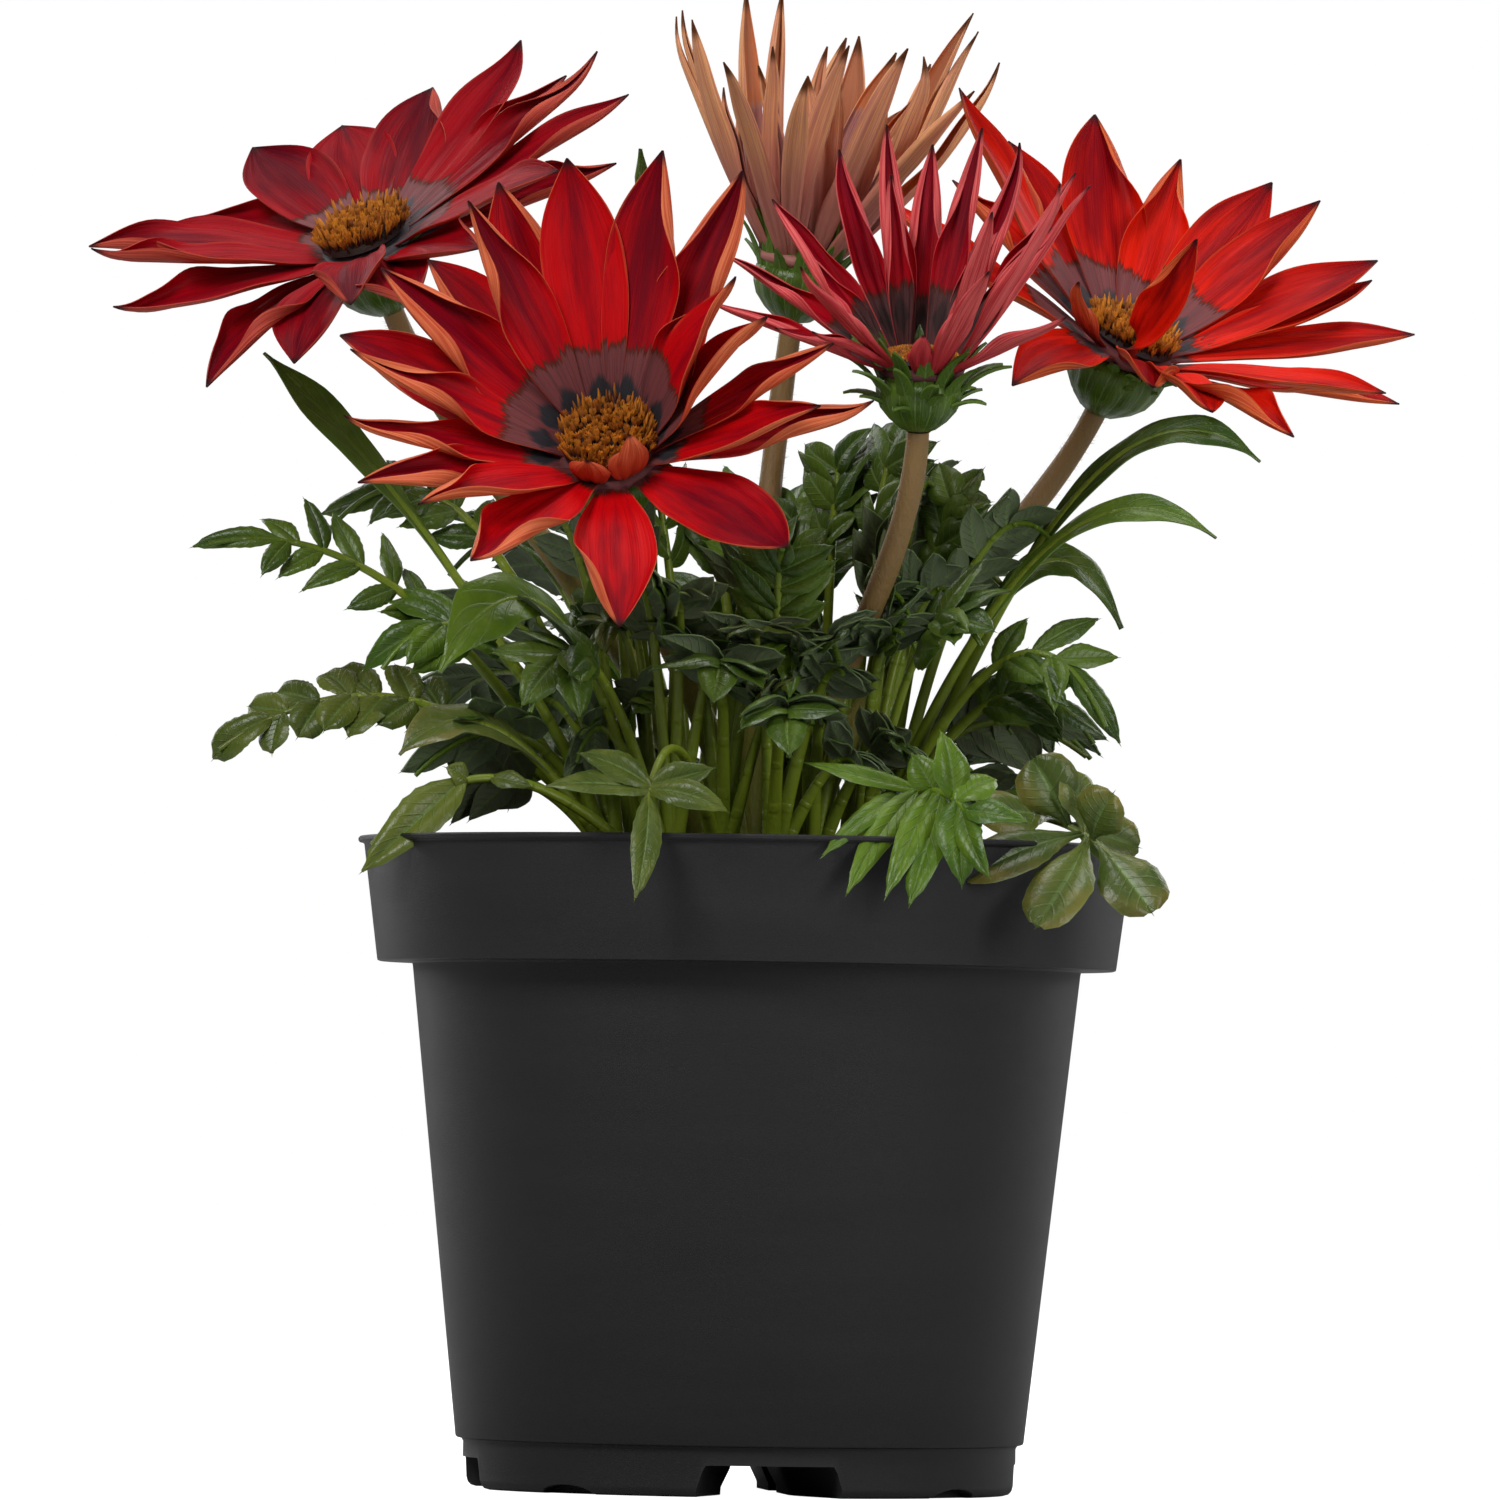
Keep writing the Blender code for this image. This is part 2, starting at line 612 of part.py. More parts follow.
def petal_surface(petal, size, row, alongs, acrosses):
    """Points and normals of a petal's middle surface, in its bloom's frame.

    The midline leaves the core at the petal's lift less half its arch and bends by the
    arch on its way to the tip. The edges curl up by the curl, most near the tip.
    """
    root = PETAL_ROOT * size
    span = petal.length * MM - root
    steps = 24
    turn = math.radians(petal.turn)
    points, normals = [], []
    for along in alongs:
        radius, height = root, (-0.2 - 0.8 * row) * MM * size
        for step in range(steps):
            share = along * (step + 0.5) / steps
            slope = math.radians(petal.lift + petal.arch * (share - 0.5))
            radius += span * along / steps * math.cos(slope)
            height += span * along / steps * math.sin(slope)
        slope = math.radians(petal.lift + petal.arch * (along - 0.5))
        middle = Vector((radius, 0, height))
        forward = Vector((math.cos(slope), 0, math.sin(slope)))
        upward = Vector((-math.sin(slope), 0, math.cos(slope)))
        sideways = Vector((0, 1, 0))
        spin = Matrix.Rotation(math.radians(petal.twist) * along * along, 3, forward)
        upward, sideways = spin @ upward, spin @ sideways
        half = petal_half_width(petal, along)
        curl = math.radians(petal.curl) * (0.35 + 0.65 * along)
        for across in acrosses:
            out, rise = curled(across, curl)
            tilt = curl * across * across * (1 if across > 0 else -1)
            points.append(middle + half * (out * sideways + rise * upward))
            normals.append(math.cos(tilt) * upward - math.sin(tilt) * sideways)
    facing = Matrix.Rotation(turn, 3, "Z")
    return [facing @ p for p in points], [facing @ n for n in normals]


def petal_half_width(petal, along):
    """Half the petal's width: a narrow claw, widest past the middle, then a drawn-out point."""
    widest = 0.55
    if along < widest:
        share = 0.28 + 0.72 * math.sin(math.pi / 2 * along / widest) ** 1.2
    else:
        past = (along - widest) / (1 - widest)
        share = (1 - past ** 2) * (1 - 0.25 * past ** 2)
    return petal.width / 2 * MM * share


def curled(across, curl):
    """Where a point across the blade lies once its edge has curled up: out and up, in half widths."""
    steps = 12
    out = rise = 0.0
    for step in range(steps):
        share = across * (step + 0.5) / steps
        out += math.cos(curl * share * share) * across / steps
        rise += math.sin(curl * share * share) * abs(across) / steps
    return out, rise


def petal_mesh(petal, size, row):
    """One petal as a closed blade with a fold down its middle and a pointed tip."""
    acrosses = (1.0, 0.0, -1.0)
    points, normals = petal_surface(petal, size, row, PETAL_STATIONS, acrosses)
    tip, tip_normal = petal_surface(petal, size, row, (1.0,), (0.0,))
    faces = []
    for station in range(len(PETAL_STATIONS) - 1):
        low = 3 * station
        faces.append((low + 1, low + 4, low + 3, low))
        faces.append((low + 2, low + 5, low + 4, low + 1))
    last = 3 * (len(PETAL_STATIONS) - 1)
    faces.append((last + 1, last + 3, last))
    faces.append((last + 2, last + 3, last + 1))
    half = PETAL_THICKNESS / 2
    halves = [half] * (len(points) + 1)
    return sheet(points + tip, normals + tip_normal, halves, faces)


def bloom_frame(bloom):
    """The bloom's own axes: X to the viewer's right of its face, Y up its face, Z along its axis."""
    facing, rise = math.radians(bloom.facing), math.radians(bloom.rise)
    axis = Vector((
        math.sin(facing) * math.cos(rise),
        -math.cos(facing) * math.cos(rise),
        math.sin(rise),
    ))
    right = Vector((0, 0, 1)).cross(axis).normalized()
    up = axis.cross(right)
    turn = Matrix((right, up, axis)).transposed().to_4x4()
    return Matrix.Translation(Vector(bloom.centre) * MM) @ turn


def build_petals(bloom, place, finish):
    """The ring of petals, sunk into the core that holds them as one body."""
    size = bloom.size
    core = [(0, -1.7), (8.2, -1.7), (9.0, -1.0), (9.0, 0.1), (8.2, 0.7), (0, 0.7)]
    meshes = [turned_profile([(r * MM * size, z * MM * size) for r, z in core], 12)]
    for index, petal in enumerate(bloom.petals):
        beside = bloom.petals[index - 1].lift + bloom.petals[(index + 1) % len(bloom.petals)].lift
        row = 0 if 2 * petal.lift > beside else 1
        meshes.append(petal_mesh(petal._replace(lift=petal.lift + bloom.cupping), size, row))
    for mesh in meshes:
        mesh.transform(place)
    return fused(bloom.name + "_petals", meshes, finish)


def build_disc(bloom, place, finish):
    """The disc: a flared head of florets, raised in relief all over its top."""
    size = bloom.size * MM
    rings = [
        [(0, 1.0)],
        [(5.8, 1.0)],
        [(6.6, 2.6), (6.0, 2.2)],
        [(8.2, 4.4), (6.6, 3.2)],
        [(5.6, 4.0), (6.4, 5.4)],
        [(4.6, 5.4), (3.8, 4.2)],
        [(2.0, 4.3), (2.8, 5.6)],
        [(0, 5.2)],
    ]
    mesh = turned([[(r * size, z * size) for r, z in ring] for ring in rings], 16)
    mesh.transform(place)
    return object_of(bloom.name + "_disc", mesh, finish)


def build_calyx(bloom, place, finish):
    """The green cup under the petals, with a ring of pointed bracts round its rim."""
    size = bloom.size * MM
    rings = [
        [(0, -12.5)],
        [(2.2, -12.5)],
        [(4.6, -11.0)],
        [(7.6, -7.6)],
        [(8.2, -5.2)],
        [(12.2, -4.4), (8.3, -4.4)],
        [(8.1, -3.4)],
        [(7.0, -2.0)],
        [(0, -2.0)],
    ]
    mesh = turned([[(r * size, z * size) for r, z in ring] for ring in rings], 16)
    mesh.transform(place)
    return object_of(bloom.name + "_calyx", mesh, finish)


def bezier(first, second, third, fourth, share):
    """A point on a cubic Bezier curve."""
    rest = 1 - share
    return (
        rest ** 3 * first + 3 * rest ** 2 * share * second
        + 3 * rest * share ** 2 * third + share ** 3 * fourth
    )


def build_stem(bloom, place, finish):
    """The stem: upright out of its hole, then curving into line with the bloom's axis."""
    root = Vector((bloom.root[0], bloom.root[1], 0)) * MM
    foot = root + Vector((0, 0, SOIL_Z - HOLE_DEPTH + FIT_GAP))
    leave = root + Vector((0, 0, SOIL_Z + 4 * MM))
    top = place @ Vector((0, 0, -CALYX_DEPTH * bloom.size - FIT_GAP))
    axis = place.to_3x3() @ Vector((0, 0, 1))
    reach = (top - leave).length / 3
    upward = leave + Vector((0, 0, reach))
    inward = top - axis * reach
    path = [foot]
    for step in range(STEM_STEPS):
        path.append(bezier(leave, upward, inward, top, step / STEM_STEPS))
    path.append(top - axis * MM)
    path.append(top)
    slim = STEM_RADIUS
    radii = [slim * (STEM_FLARE - (STEM_FLARE - 1) * i / (len(path) - 1)) for i in range(len(path))]
    return object_of(bloom.name + "_stem", tube(path, radii, STEM_SIDES), finish)


def leaf_rib(leaf, tuft, share):
    """A point on the leaf's rib, with its direction, its side and its upper normal."""
    start = polar(tuft.azimuth, tuft.radius, 3.0)
    peak = polar(leaf.azimuth, tuft.radius + leaf.lean * (leaf.reach - tuft.radius), leaf.arch)
    end = polar(leaf.azimuth, leaf.reach, leaf.tip)
    rest = 1 - share
    point = rest ** 2 * start + 2 * rest * share * peak + share ** 2 * end
    along = (2 * rest * (peak - start) + 2 * share * (end - peak)).normalized()
    outward = math.radians(leaf.azimuth)
    side = Vector((-math.sin(outward), math.cos(outward), 0))
    side = (side - along * side.dot(along)).normalized()
    side = Matrix.Rotation(math.radians(leaf.roll), 3, along) @ side
    return point, along, side, along.cross(side)


def polar(azimuth, radius, height):
    """A point from a plan angle, a distance from the axis and a height above the soil, in mm."""
    angle = math.radians(azimuth)
    return Vector((radius * MM * math.cos(angle), radius * MM * math.sin(angle), SOIL_Z + height * MM))


class Blade:
    """A leaf's middle surface while it is being laid out."""

    def __init__(self, leaf, tuft):
        self.leaf, self.tuft = leaf, tuft
        self.points, self.normals, self.halves, self.faces = [], [], [], []

    def add(self, point, normal, thickness):
        """Adds a point and returns its index."""
        self.points.append(point)
        self.normals.append(normal)
        self.halves.append(thickness / 2)
        return len(self.points) - 1

    def rib_pair(self, share, half, thickness):
        """The two edge points of the rib at a share of its length."""
        point, _, side, normal = leaf_rib(self.leaf, self.tuft, share)
        return self.add(point + side * half, normal, thickness), self.add(point - side * half, normal, thickness)

    def lobe(self, low, high, share, hand, length, half):
        """A leaflet that grows from the rib's edge between the points low and high."""
        point, along, side, normal = leaf_rib(self.leaf, self.tuft, share)
        aim = (0.8 * hand * side + 0.6 * along - 0.25 * normal).normalized()
        breadth = (along - aim * along.dot(aim)).normalized()
        facing = breadth.cross(aim) * -hand
        facing = facing if facing.dot(normal) > 0 else -facing
        middle = point + aim * 0.55 * length
        back = self.add(middle - breadth * half, facing, LEAF_THICKNESS)
        front = self.add(middle + breadth * half, facing, LEAF_THICKNESS)
        tip = self.add(point + aim * length, facing, LEAF_THICKNESS)
        loop = [(low, back, front), (low, front, high), (back, tip, front)]
        self.faces += loop if hand < 0 else [face[::-1] for face in loop]

    def mesh(self):
        """The blade as a closed solid."""
        return sheet(self.points, self.normals, self.halves, self.faces)


def lobed_leaf(leaf, tuft):
    """A pinnate leaf: petiole and rib as a slim strip, with leaflets cut to the rib."""
    blade = Blade(leaf, tuft)
    slim = 0.7 * PETIOLE_HALF_WIDTH
    left, right = blade.rib_pair(0.0, PETIOLE_HALF_WIDTH, PETIOLE_THICKNESS)
    shares = [0.5 * BLADE_START]
    pitch = (1 - TERMINAL_SHARE - BLADE_START) / leaf.pairs
    for pair in range(leaf.pairs):
        start = BLADE_START + pair * pitch
        shares += [start, start + 0.5 * pitch]
    shares.append(1 - TERMINAL_SHARE)
    for index, share in enumerate(shares):
        thickness = PETIOLE_THICKNESS + (LEAF_THICKNESS - PETIOLE_THICKNESS) * share
        half = PETIOLE_HALF_WIDTH + (slim - PETIOLE_HALF_WIDTH) * share
        next_left, next_right = blade.rib_pair(share, half, thickness)
        blade.faces.append((right, next_right, next_left, left))
        if index and index % 2 == 0:
            pair = index // 2 - 1
            swell = 0.75 + 0.25 * math.sin(math.pi * (pair + 0.5) / leaf.pairs)
            length = leaf.leaflet * MM * swell
            blade.lobe(left, next_left, share - 0.25 * pitch, 1, length, leaf.width * MM)
            blade.lobe(right, next_right, share - 0.25 * pitch, -1, length, leaf.width * MM)
        left, right = next_left, next_right
    broad_left, broad_right = blade.rib_pair(1 - 0.5 * TERMINAL_SHARE, 1.15 * leaf.width * MM, LEAF_THICKNESS)
    point, _, _, normal = leaf_rib(leaf, tuft, 1.0)
    tip = blade.add(point, normal, LEAF_THICKNESS)
    blade.faces.append((right, broad_right, broad_left, left))
    blade.faces.append((broad_right, tip, broad_left))
    return blade.mesh()


def strap_leaf(leaf, tuft):
    """A plain strap leaf: a slim petiole that widens into one long blade with a folded midrib."""
    blade = Blade(leaf, tuft)
    outline = (
        (0.0, 1.0), (0.25, 0.9), (BLADE_START, 1.1), (0.6, 0.8 * leaf.width),
        (0.78, leaf.width), (0.92, 0.75 * leaf.width),
    )
    row = None
    for share, half in outline:
        thickness = PETIOLE_THICKNESS + (LEAF_THICKNESS - PETIOLE_THICKNESS) * min(1.0, 2 * share)
        point, _, side, normal = leaf_rib(leaf, tuft, share)
        fold = 0.25 * (half - 0.9) * MM
        edges = point + normal * fold
        following = (
            blade.add(edges + side * half * MM, normal, thickness),
            blade.add(point, normal, thickness),
            blade.add(edges - side * half * MM, normal, thickness),
        )
        if row:
            blade.faces.append((row[1], following[1], following[0], row[0]))
            blade.faces.append((row[2], following[2], following[1], row[1]))
        row = following
    point, _, _, normal = leaf_rib(leaf, tuft, 1.0)
    tip = blade.add(point, normal, LEAF_THICKNESS)
    blade.faces.append((row[1], tip, row[0]))
    blade.faces.append((row[2], tip, row[1]))
    return blade.mesh()


def build_tuft(number, tuft, finish):
    """A shoot that stands in the soil, with its leaves fused into it."""
    angle = math.radians(tuft.azimuth)
    centre = (tuft.radius * MM * math.cos(angle), tuft.radius * MM * math.sin(angle))
    bottom = SOIL_Z - HOLE_DEPTH + FIT_GAP
    meshes = [cylinder(TUFT_RADIUS, bottom, SOIL_Z + TUFT_HEIGHT, centre, 6, end=0.8)]
    for leaf in tuft.leaves:
        meshes.append(lobed_leaf(leaf, tuft) if leaf.pairs else strap_leaf(leaf, tuft))
    return fused(f"leaf_tuft_{number:02d}", meshes, finish)


def stand_on_origin(objects):
    """Hangs every piece on one empty, and moves that so the origin is the bottom centre of all."""
    low = Vector((1e9,) * 3)
    high = Vector((-1e9,) * 3)
    for obj in objects:
        for vertex in obj.data.vertices:
            low = Vector(map(min, low, vertex.co))
            high = Vector(map(max, high, vertex.co))
    stand = bpy.data.objects.new("gazania", None)
    bpy.context.scene.collection.objects.link(stand)
    for obj in objects:
        obj.parent = stand
    stand.location = (-(low.x + high.x) / 2, -(low.y + high.y) / 2, -low.z)


def main():
    """Builds the pot, the soil, the tufts and the blooms."""
    clear_scene()
    plastic = material("pot_plastic", (0.022, 0.022, 0.024), 0.45)
    peat = material("potting_soil", (0.035, 0.022, 0.014), 0.95)
    leaf_green = material("leaf", (0.035, 0.085, 0.022), 0.45)
    stem_green = material("stem", (0.12, 0.10, 0.035), 0.55)
    calyx_green = material("calyx", (0.05, 0.11, 0.025), 0.5)
    floret = material("disc_florets", (0.55, 0.20, 0.015), 0.7)
    objects = [build_pot(plastic)]
    holes = []
    for bloom in BLOOMS:
        holes.append(((bloom.root[0] * MM, bloom.root[1] * MM), STEM_RADIUS * STEM_FLARE))
        place = bloom_frame(bloom)
        petal_finish = material(bloom.name + "_petal", bloom.colour, 0.5)
        objects.append(build_petals(bloom, place, petal_finish))
        objects.append(build_disc(bloom, place, floret))
        objects.append(build_calyx(bloom, place, calyx_green))
        objects.append(build_stem(bloom, place, stem_green))
    for number, tuft in enumerate(TUFTS, start=1):
        objects.append(build_tuft(number, tuft, leaf_green))
        angle = math.radians(tuft.azimuth)
        centre = (tuft.radius * MM * math.cos(angle), tuft.radius * MM * math.sin(angle))
        holes.append((centre, TUFT_RADIUS))
    objects.append(build_soil(peat, holes))
    stand_on_origin(objects)


main()
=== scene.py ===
"""The looks of a potted gazania: petals, florets, leaves, stems, peat and pot, dressed over its frame.

Positions are in millimetres from the pot's axis and the surface it stands on, and are
turned into the frame's metres as the meshes are made.
"""

import logging
import math
from dataclasses import dataclass, field, replace
from enum import Enum

import bmesh
import bpy
import numpy as np
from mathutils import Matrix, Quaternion, Vector, noise


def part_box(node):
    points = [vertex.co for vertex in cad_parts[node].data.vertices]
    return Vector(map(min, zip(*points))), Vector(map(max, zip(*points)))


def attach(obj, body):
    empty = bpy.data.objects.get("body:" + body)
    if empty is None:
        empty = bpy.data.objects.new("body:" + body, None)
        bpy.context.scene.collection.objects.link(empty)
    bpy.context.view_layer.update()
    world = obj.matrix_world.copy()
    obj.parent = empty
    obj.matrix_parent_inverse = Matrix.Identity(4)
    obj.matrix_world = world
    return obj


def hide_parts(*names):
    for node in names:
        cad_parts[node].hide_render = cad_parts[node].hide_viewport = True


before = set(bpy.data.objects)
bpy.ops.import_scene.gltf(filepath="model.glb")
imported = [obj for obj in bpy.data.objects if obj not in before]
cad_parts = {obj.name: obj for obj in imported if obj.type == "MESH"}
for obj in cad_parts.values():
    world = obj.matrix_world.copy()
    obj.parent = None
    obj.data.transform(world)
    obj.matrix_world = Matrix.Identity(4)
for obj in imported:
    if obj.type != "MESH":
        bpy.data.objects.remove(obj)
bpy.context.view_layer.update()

MM = 0.001
BODY = "root"
LOG = logging.getLogger("gazania")

POT_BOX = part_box("pot")
AXIS = Vector(((POT_BOX[0].x + POT_BOX[1].x) / 2, (POT_BOX[0].y + POT_BOX[1].y) / 2, POT_BOX[0].z))
SOIL_TOP = 99.0

Colour = tuple[float, float, float]
Points = np.ndarray
Material = bpy.types.Material
Node = bpy.types.Node
Socket = bpy.types.NodeSocket
Tree = bpy.types.NodeTree


def smooth(low: float, high: float, value: Points) -> Points:
    """Returns a smooth step from 0 at low to 1 at high."""
    share = np.clip((value - low) / (high - low), 0.0, 1.0)
    return share * share * (3.0 - 2.0 * share)


def unit(vectors: Points) -> Points:
    """Returns the vectors at length 1."""
    return vectors / np.maximum(np.linalg.norm(vectors, axis=-1, keepdims=True), 1e-9)


def turn_about(axis: Points, degrees: Points, vectors: Points) -> Points:
    """Turns vectors about unit axes.

    Args:
        axis: Unit axes, one for each vector.
        degrees: Angles, one for each vector.
        vectors: The vectors to turn.

    Returns:
        The turned vectors.
    """
    angle = np.radians(degrees)[..., None]
    along = (axis * vectors).sum(-1, keepdims=True)
    turned = vectors * np.cos(angle) + np.cross(axis, vectors) * np.sin(angle)
    return turned + axis * along * (1 - np.cos(angle))


def about_upright(degrees: float) -> Points:
    """Returns the matrix that turns rows of points about the upright axis."""
    cosine, sine = math.cos(math.radians(degrees)), math.sin(math.radians(degrees))
    return np.array(((cosine, sine, 0), (-sine, cosine, 0), (0, 0, 1)))


def level_way(angle: float) -> Points:
    """Returns the level unit vector at an angle in radians."""
    return np.array((math.cos(angle), math.sin(angle), 0.0))


def circle(radius: Points | float, height: float, steps: int) -> Points:
    """Returns a level ring of points about the upright axis."""
    angle = np.arange(steps) * math.tau / steps
    return np.stack([radius * np.cos(angle), radius * np.sin(angle), np.full(steps, height)], axis=-1)


def blade_vectors(first: Points | float, across: Points, along: Points) -> Points:
    """Lays out the blade vector at each point of a grid.

    Args:
        first: Its first value, for each row or for all of them.
        across: Its second value, for each column.
        along: Its third value, for each row.

    Returns:
        The vectors by row and column.
    """
    vectors = np.empty((len(along), len(across), 3))
    vectors[..., 0] = np.reshape(first, (-1, 1))
    vectors[..., 1] = across[None, :]
    vectors[..., 2] = along[:, None]
    return vectors


class Solids:
    """Closed solids gathered into one mesh, with two vectors at each point for the finish.

    The blade vector holds where a point lies on its petal or leaf. The mark vector holds
    the piece's random tone, the side of the blade (0 upper, 1 lower) and a kind.
    """

    def __init__(self) -> None:
        """Starts with nothing."""
        self.points: list[Points] = []
        self.faces: list[tuple[int, ...]] = []
        self.blades: list[Points] = []
        self.marks: list[Points] = []
        self.count = 0

    def add(self, points: Points, faces: list[tuple[int, ...]], blade: Points, mark: Points) -> None:
        """Adds one closed solid.

        Args:
            points: Its points in millimetres.
            faces: Its faces, pointing out.
            blade: The blade vector at each point.
            mark: The mark vector at each point.
        """
        start = self.count
        self.points.append(points)
        self.faces += [tuple(index + start for index in face) for face in faces]
        self.blades.append(np.broadcast_to(blade, points.shape))
        self.marks.append(np.broadcast_to(mark, points.shape))
        self.count += len(points)

    def sheet(self, grid: Points, half: Points, blade: Points, tone: float, kind: float = 0.0) -> None:
        """Adds a thin closed blade from a grid of its middle surface.

        Args:
            grid: Points by length and width; the upper side faces along length x width.
            half: Half the thickness at each point.
            blade: The blade vector at each point.
            tone: The blade's random tone.
            kind: The kind that its mark vector holds.
        """
        rows, columns = grid.shape[:2]
        normal = unit(np.cross(np.gradient(grid, axis=0), np.gradient(grid, axis=1)))
        upper = (grid + normal * half[..., None]).reshape(-1, 3)
        lower = (grid - normal * half[..., None]).reshape(-1, 3)
        total = rows * columns
        faces = []
        for row in range(rows - 1):
            for column in range(columns - 1):
                a = row * columns + column
                quad = (a, a + columns, a + columns + 1, a + 1)
                faces.append(quad)
                faces.append(tuple(index + total for index in reversed(quad)))
        edge = list(range(columns))
        edge += [row * columns + columns - 1 for row in range(1, rows)]
        edge += [(rows - 1) * columns + column for column in range(columns - 2, -1, -1)]
        edge += [row * columns for row in range(rows - 2, 0, -1)]
        for start, end in zip(edge, edge[1:] + edge[:1]):
            faces.append((start, end, end + total, start + total))
        mark = np.zeros((2 * total, 3))
        mark[:, 0] = tone
        mark[total:, 1] = 1.0
        mark[:, 2] = kind
        flat = blade.reshape(-1, 3)
        self.add(np.concatenate([upper, lower]), faces, np.concatenate([flat, flat]), mark)

    def tube(
        self, path: Points, wide: Points, thick: Points, sides: int, tone: float, kind: float = 0.0,
        side: Points | None = None,
    ) -> None:
        """Adds a closed tube along a path.

        Args:
            path: The points of its centre line.
            wide: Half its width at each point.
            thick: Half its thickness at each point.
            sides: How many sides its section has.
            tone: Its random tone.
            kind: The kind that its mark vector holds.
            side: The direction of its width at each point, if that matters.
        """
        rows = len(path)
        along = unit(np.gradient(path, axis=0))
        if side is None:
            frames = [unit(np.cross(along[0], (0.31, 0.95, 0.05)))]
            for direction in along[1:]:
                frames.append(unit(frames[-1] - direction * (frames[-1] @ direction)))
            side = np.array(frames)
        side = unit(side - along * (side * along).sum(-1, keepdims=True))
        up = np.cross(along, side)
        angle = np.arange(sides) * math.tau / sides
        ring = side[:, None] * (np.cos(angle)[None, :, None] * wide[:, None, None])
        ring = ring + up[:, None] * (np.sin(angle)[None, :, None] * thick[:, None, None])
        points = (path[:, None] + ring).reshape(-1, 3)
        faces = []
        for row in range(rows - 1):
            for step in range(sides):
                a, b = row * sides + step, row * sides + (step + 1) % sides
                faces.append((a, b, b + sides, a + sides))
        faces.append(tuple(reversed(range(sides))))
        faces.append(tuple(range((rows - 1) * sides, rows * sides)))
        share = np.repeat(np.linspace(0, 1, rows), sides)
        blade = np.stack([share, np.zeros_like(share), share], axis=-1)
        self.add(points, faces, blade, np.array((tone, 0.0, kind)))

    def spikes(self, roots: Points, tips: Points, radius: float, kind: float) -> None:
        """Adds a slim three-sided spike, such as a hair, from each root to its tip.

        Args:
            roots: Where the spikes start.
            tips: Where they end.
            radius: Their radius at the root.
            kind: The kind that their mark vector holds.
        """
        along = unit(tips - roots)
        side = unit(np.cross(along, (0.36, 0.48, 0.8)))
        up = np.cross(along, side)
        count = len(roots)
        corners = [roots + radius * (math.cos(a) * side + math.sin(a) * up) for a in (0.0, 2.094, 4.189)]
        points = np.stack(corners + [tips], axis=1).reshape(-1, 3)
        faces = []
        for spike in range(count):
            a = 4 * spike
            faces += [(a, a + 1, a + 3), (a + 1, a + 2, a + 3), (a + 2, a, a + 3), (a + 2, a + 1, a)]
        self.add(points, faces, np.array((1.0, 0.0, 1.0)), np.array((0.5, 0.0, kind)))

    def turned(self, rings: Points, blade: Points, tone: float, kind: float = 0.0) -> None:
        """Adds a closed solid of stacked rings, with a pole at each end.

        Args:
            rings: Points by ring and step, the first and last ring being single points repeated.
            blade: The blade vector at each point of the rings.
            tone: Its random tone.
            kind: The kind that its mark vector holds.
        """
        count, steps = rings.shape[:2]
        inner = rings[1:-1].reshape(-1, 3)
        points = np.concatenate([inner, rings[:1, 0], rings[-1:, 0]])
        marks = np.concatenate([blade[1:-1].reshape(-1, 3), blade[:1, 0], blade[-1:, 0]])
        low, high = len(inner), len(inner) + 1
        last = (count - 3) * steps
        faces = []
        for step in range(steps):
            following = (step + 1) % steps
            faces.append((low, following, step))
            faces.append((high, last + step, last + following))
            for row in range(count - 3):
                a, b = row * steps + step, row * steps + following
                faces.append((a, b, b + steps, a + steps))
        self.add(points, faces, marks, np.array((tone, 0.0, kind)))

    def made(self, name: str, material: Material, angle: float = 50.0) -> bpy.types.Object:
        """Makes the mesh object in the frame.

        Args:
            name: The piece's name.
            material: Its finish.
            angle: Edges sharper than this many degrees stay crisp.

        Returns:
            The object, shaded smooth.
        """
        mesh = bpy.data.meshes.new(name)
        points = np.concatenate(self.points) * MM + np.array(AXIS)
        mesh.from_pydata(points.tolist(), [], self.faces)
        for label, values in (("blade", self.blades), ("mark", self.marks)):
            layer = mesh.attributes.new(label, "FLOAT_VECTOR", "POINT")
            layer.data.foreach_set("vector", np.concatenate(values).astype(np.float32).ravel())
        mesh.materials.append(material)
        mesh.shade_smooth()
        mesh.set_sharp_from_angle(angle=math.radians(angle))
        made = bpy.data.objects.new(name, mesh)
        bpy.context.scene.collection.objects.link(made)
        return made


@dataclass(frozen=True)
class Value:
    """A value in a shader graph. Arithmetic on it adds the Math nodes that work it out."""

    graph: "Graph"
    socket: Socket

    def __add__(self, other: object) -> "Value":
        """Returns the sum."""
        return self.graph.math("ADD", self, other)

    def __sub__(self, other: object) -> "Value":
        """Returns the difference."""
        return self.graph.math("SUBTRACT", self, other)

    def __mul__(self, other: object) -> "Value":
        """Returns the product."""
        return self.graph.math("MULTIPLY", self, other)

    def __abs__(self) -> "Value":
        """Returns the value without its sign."""
        return self.graph.math("ABSOLUTE", self)

    def scaled(self, scale: object, start: object) -> "Value":
        """Returns the value times scale, plus start."""
        return self.graph.math("MULTIPLY_ADD", self, scale, start)


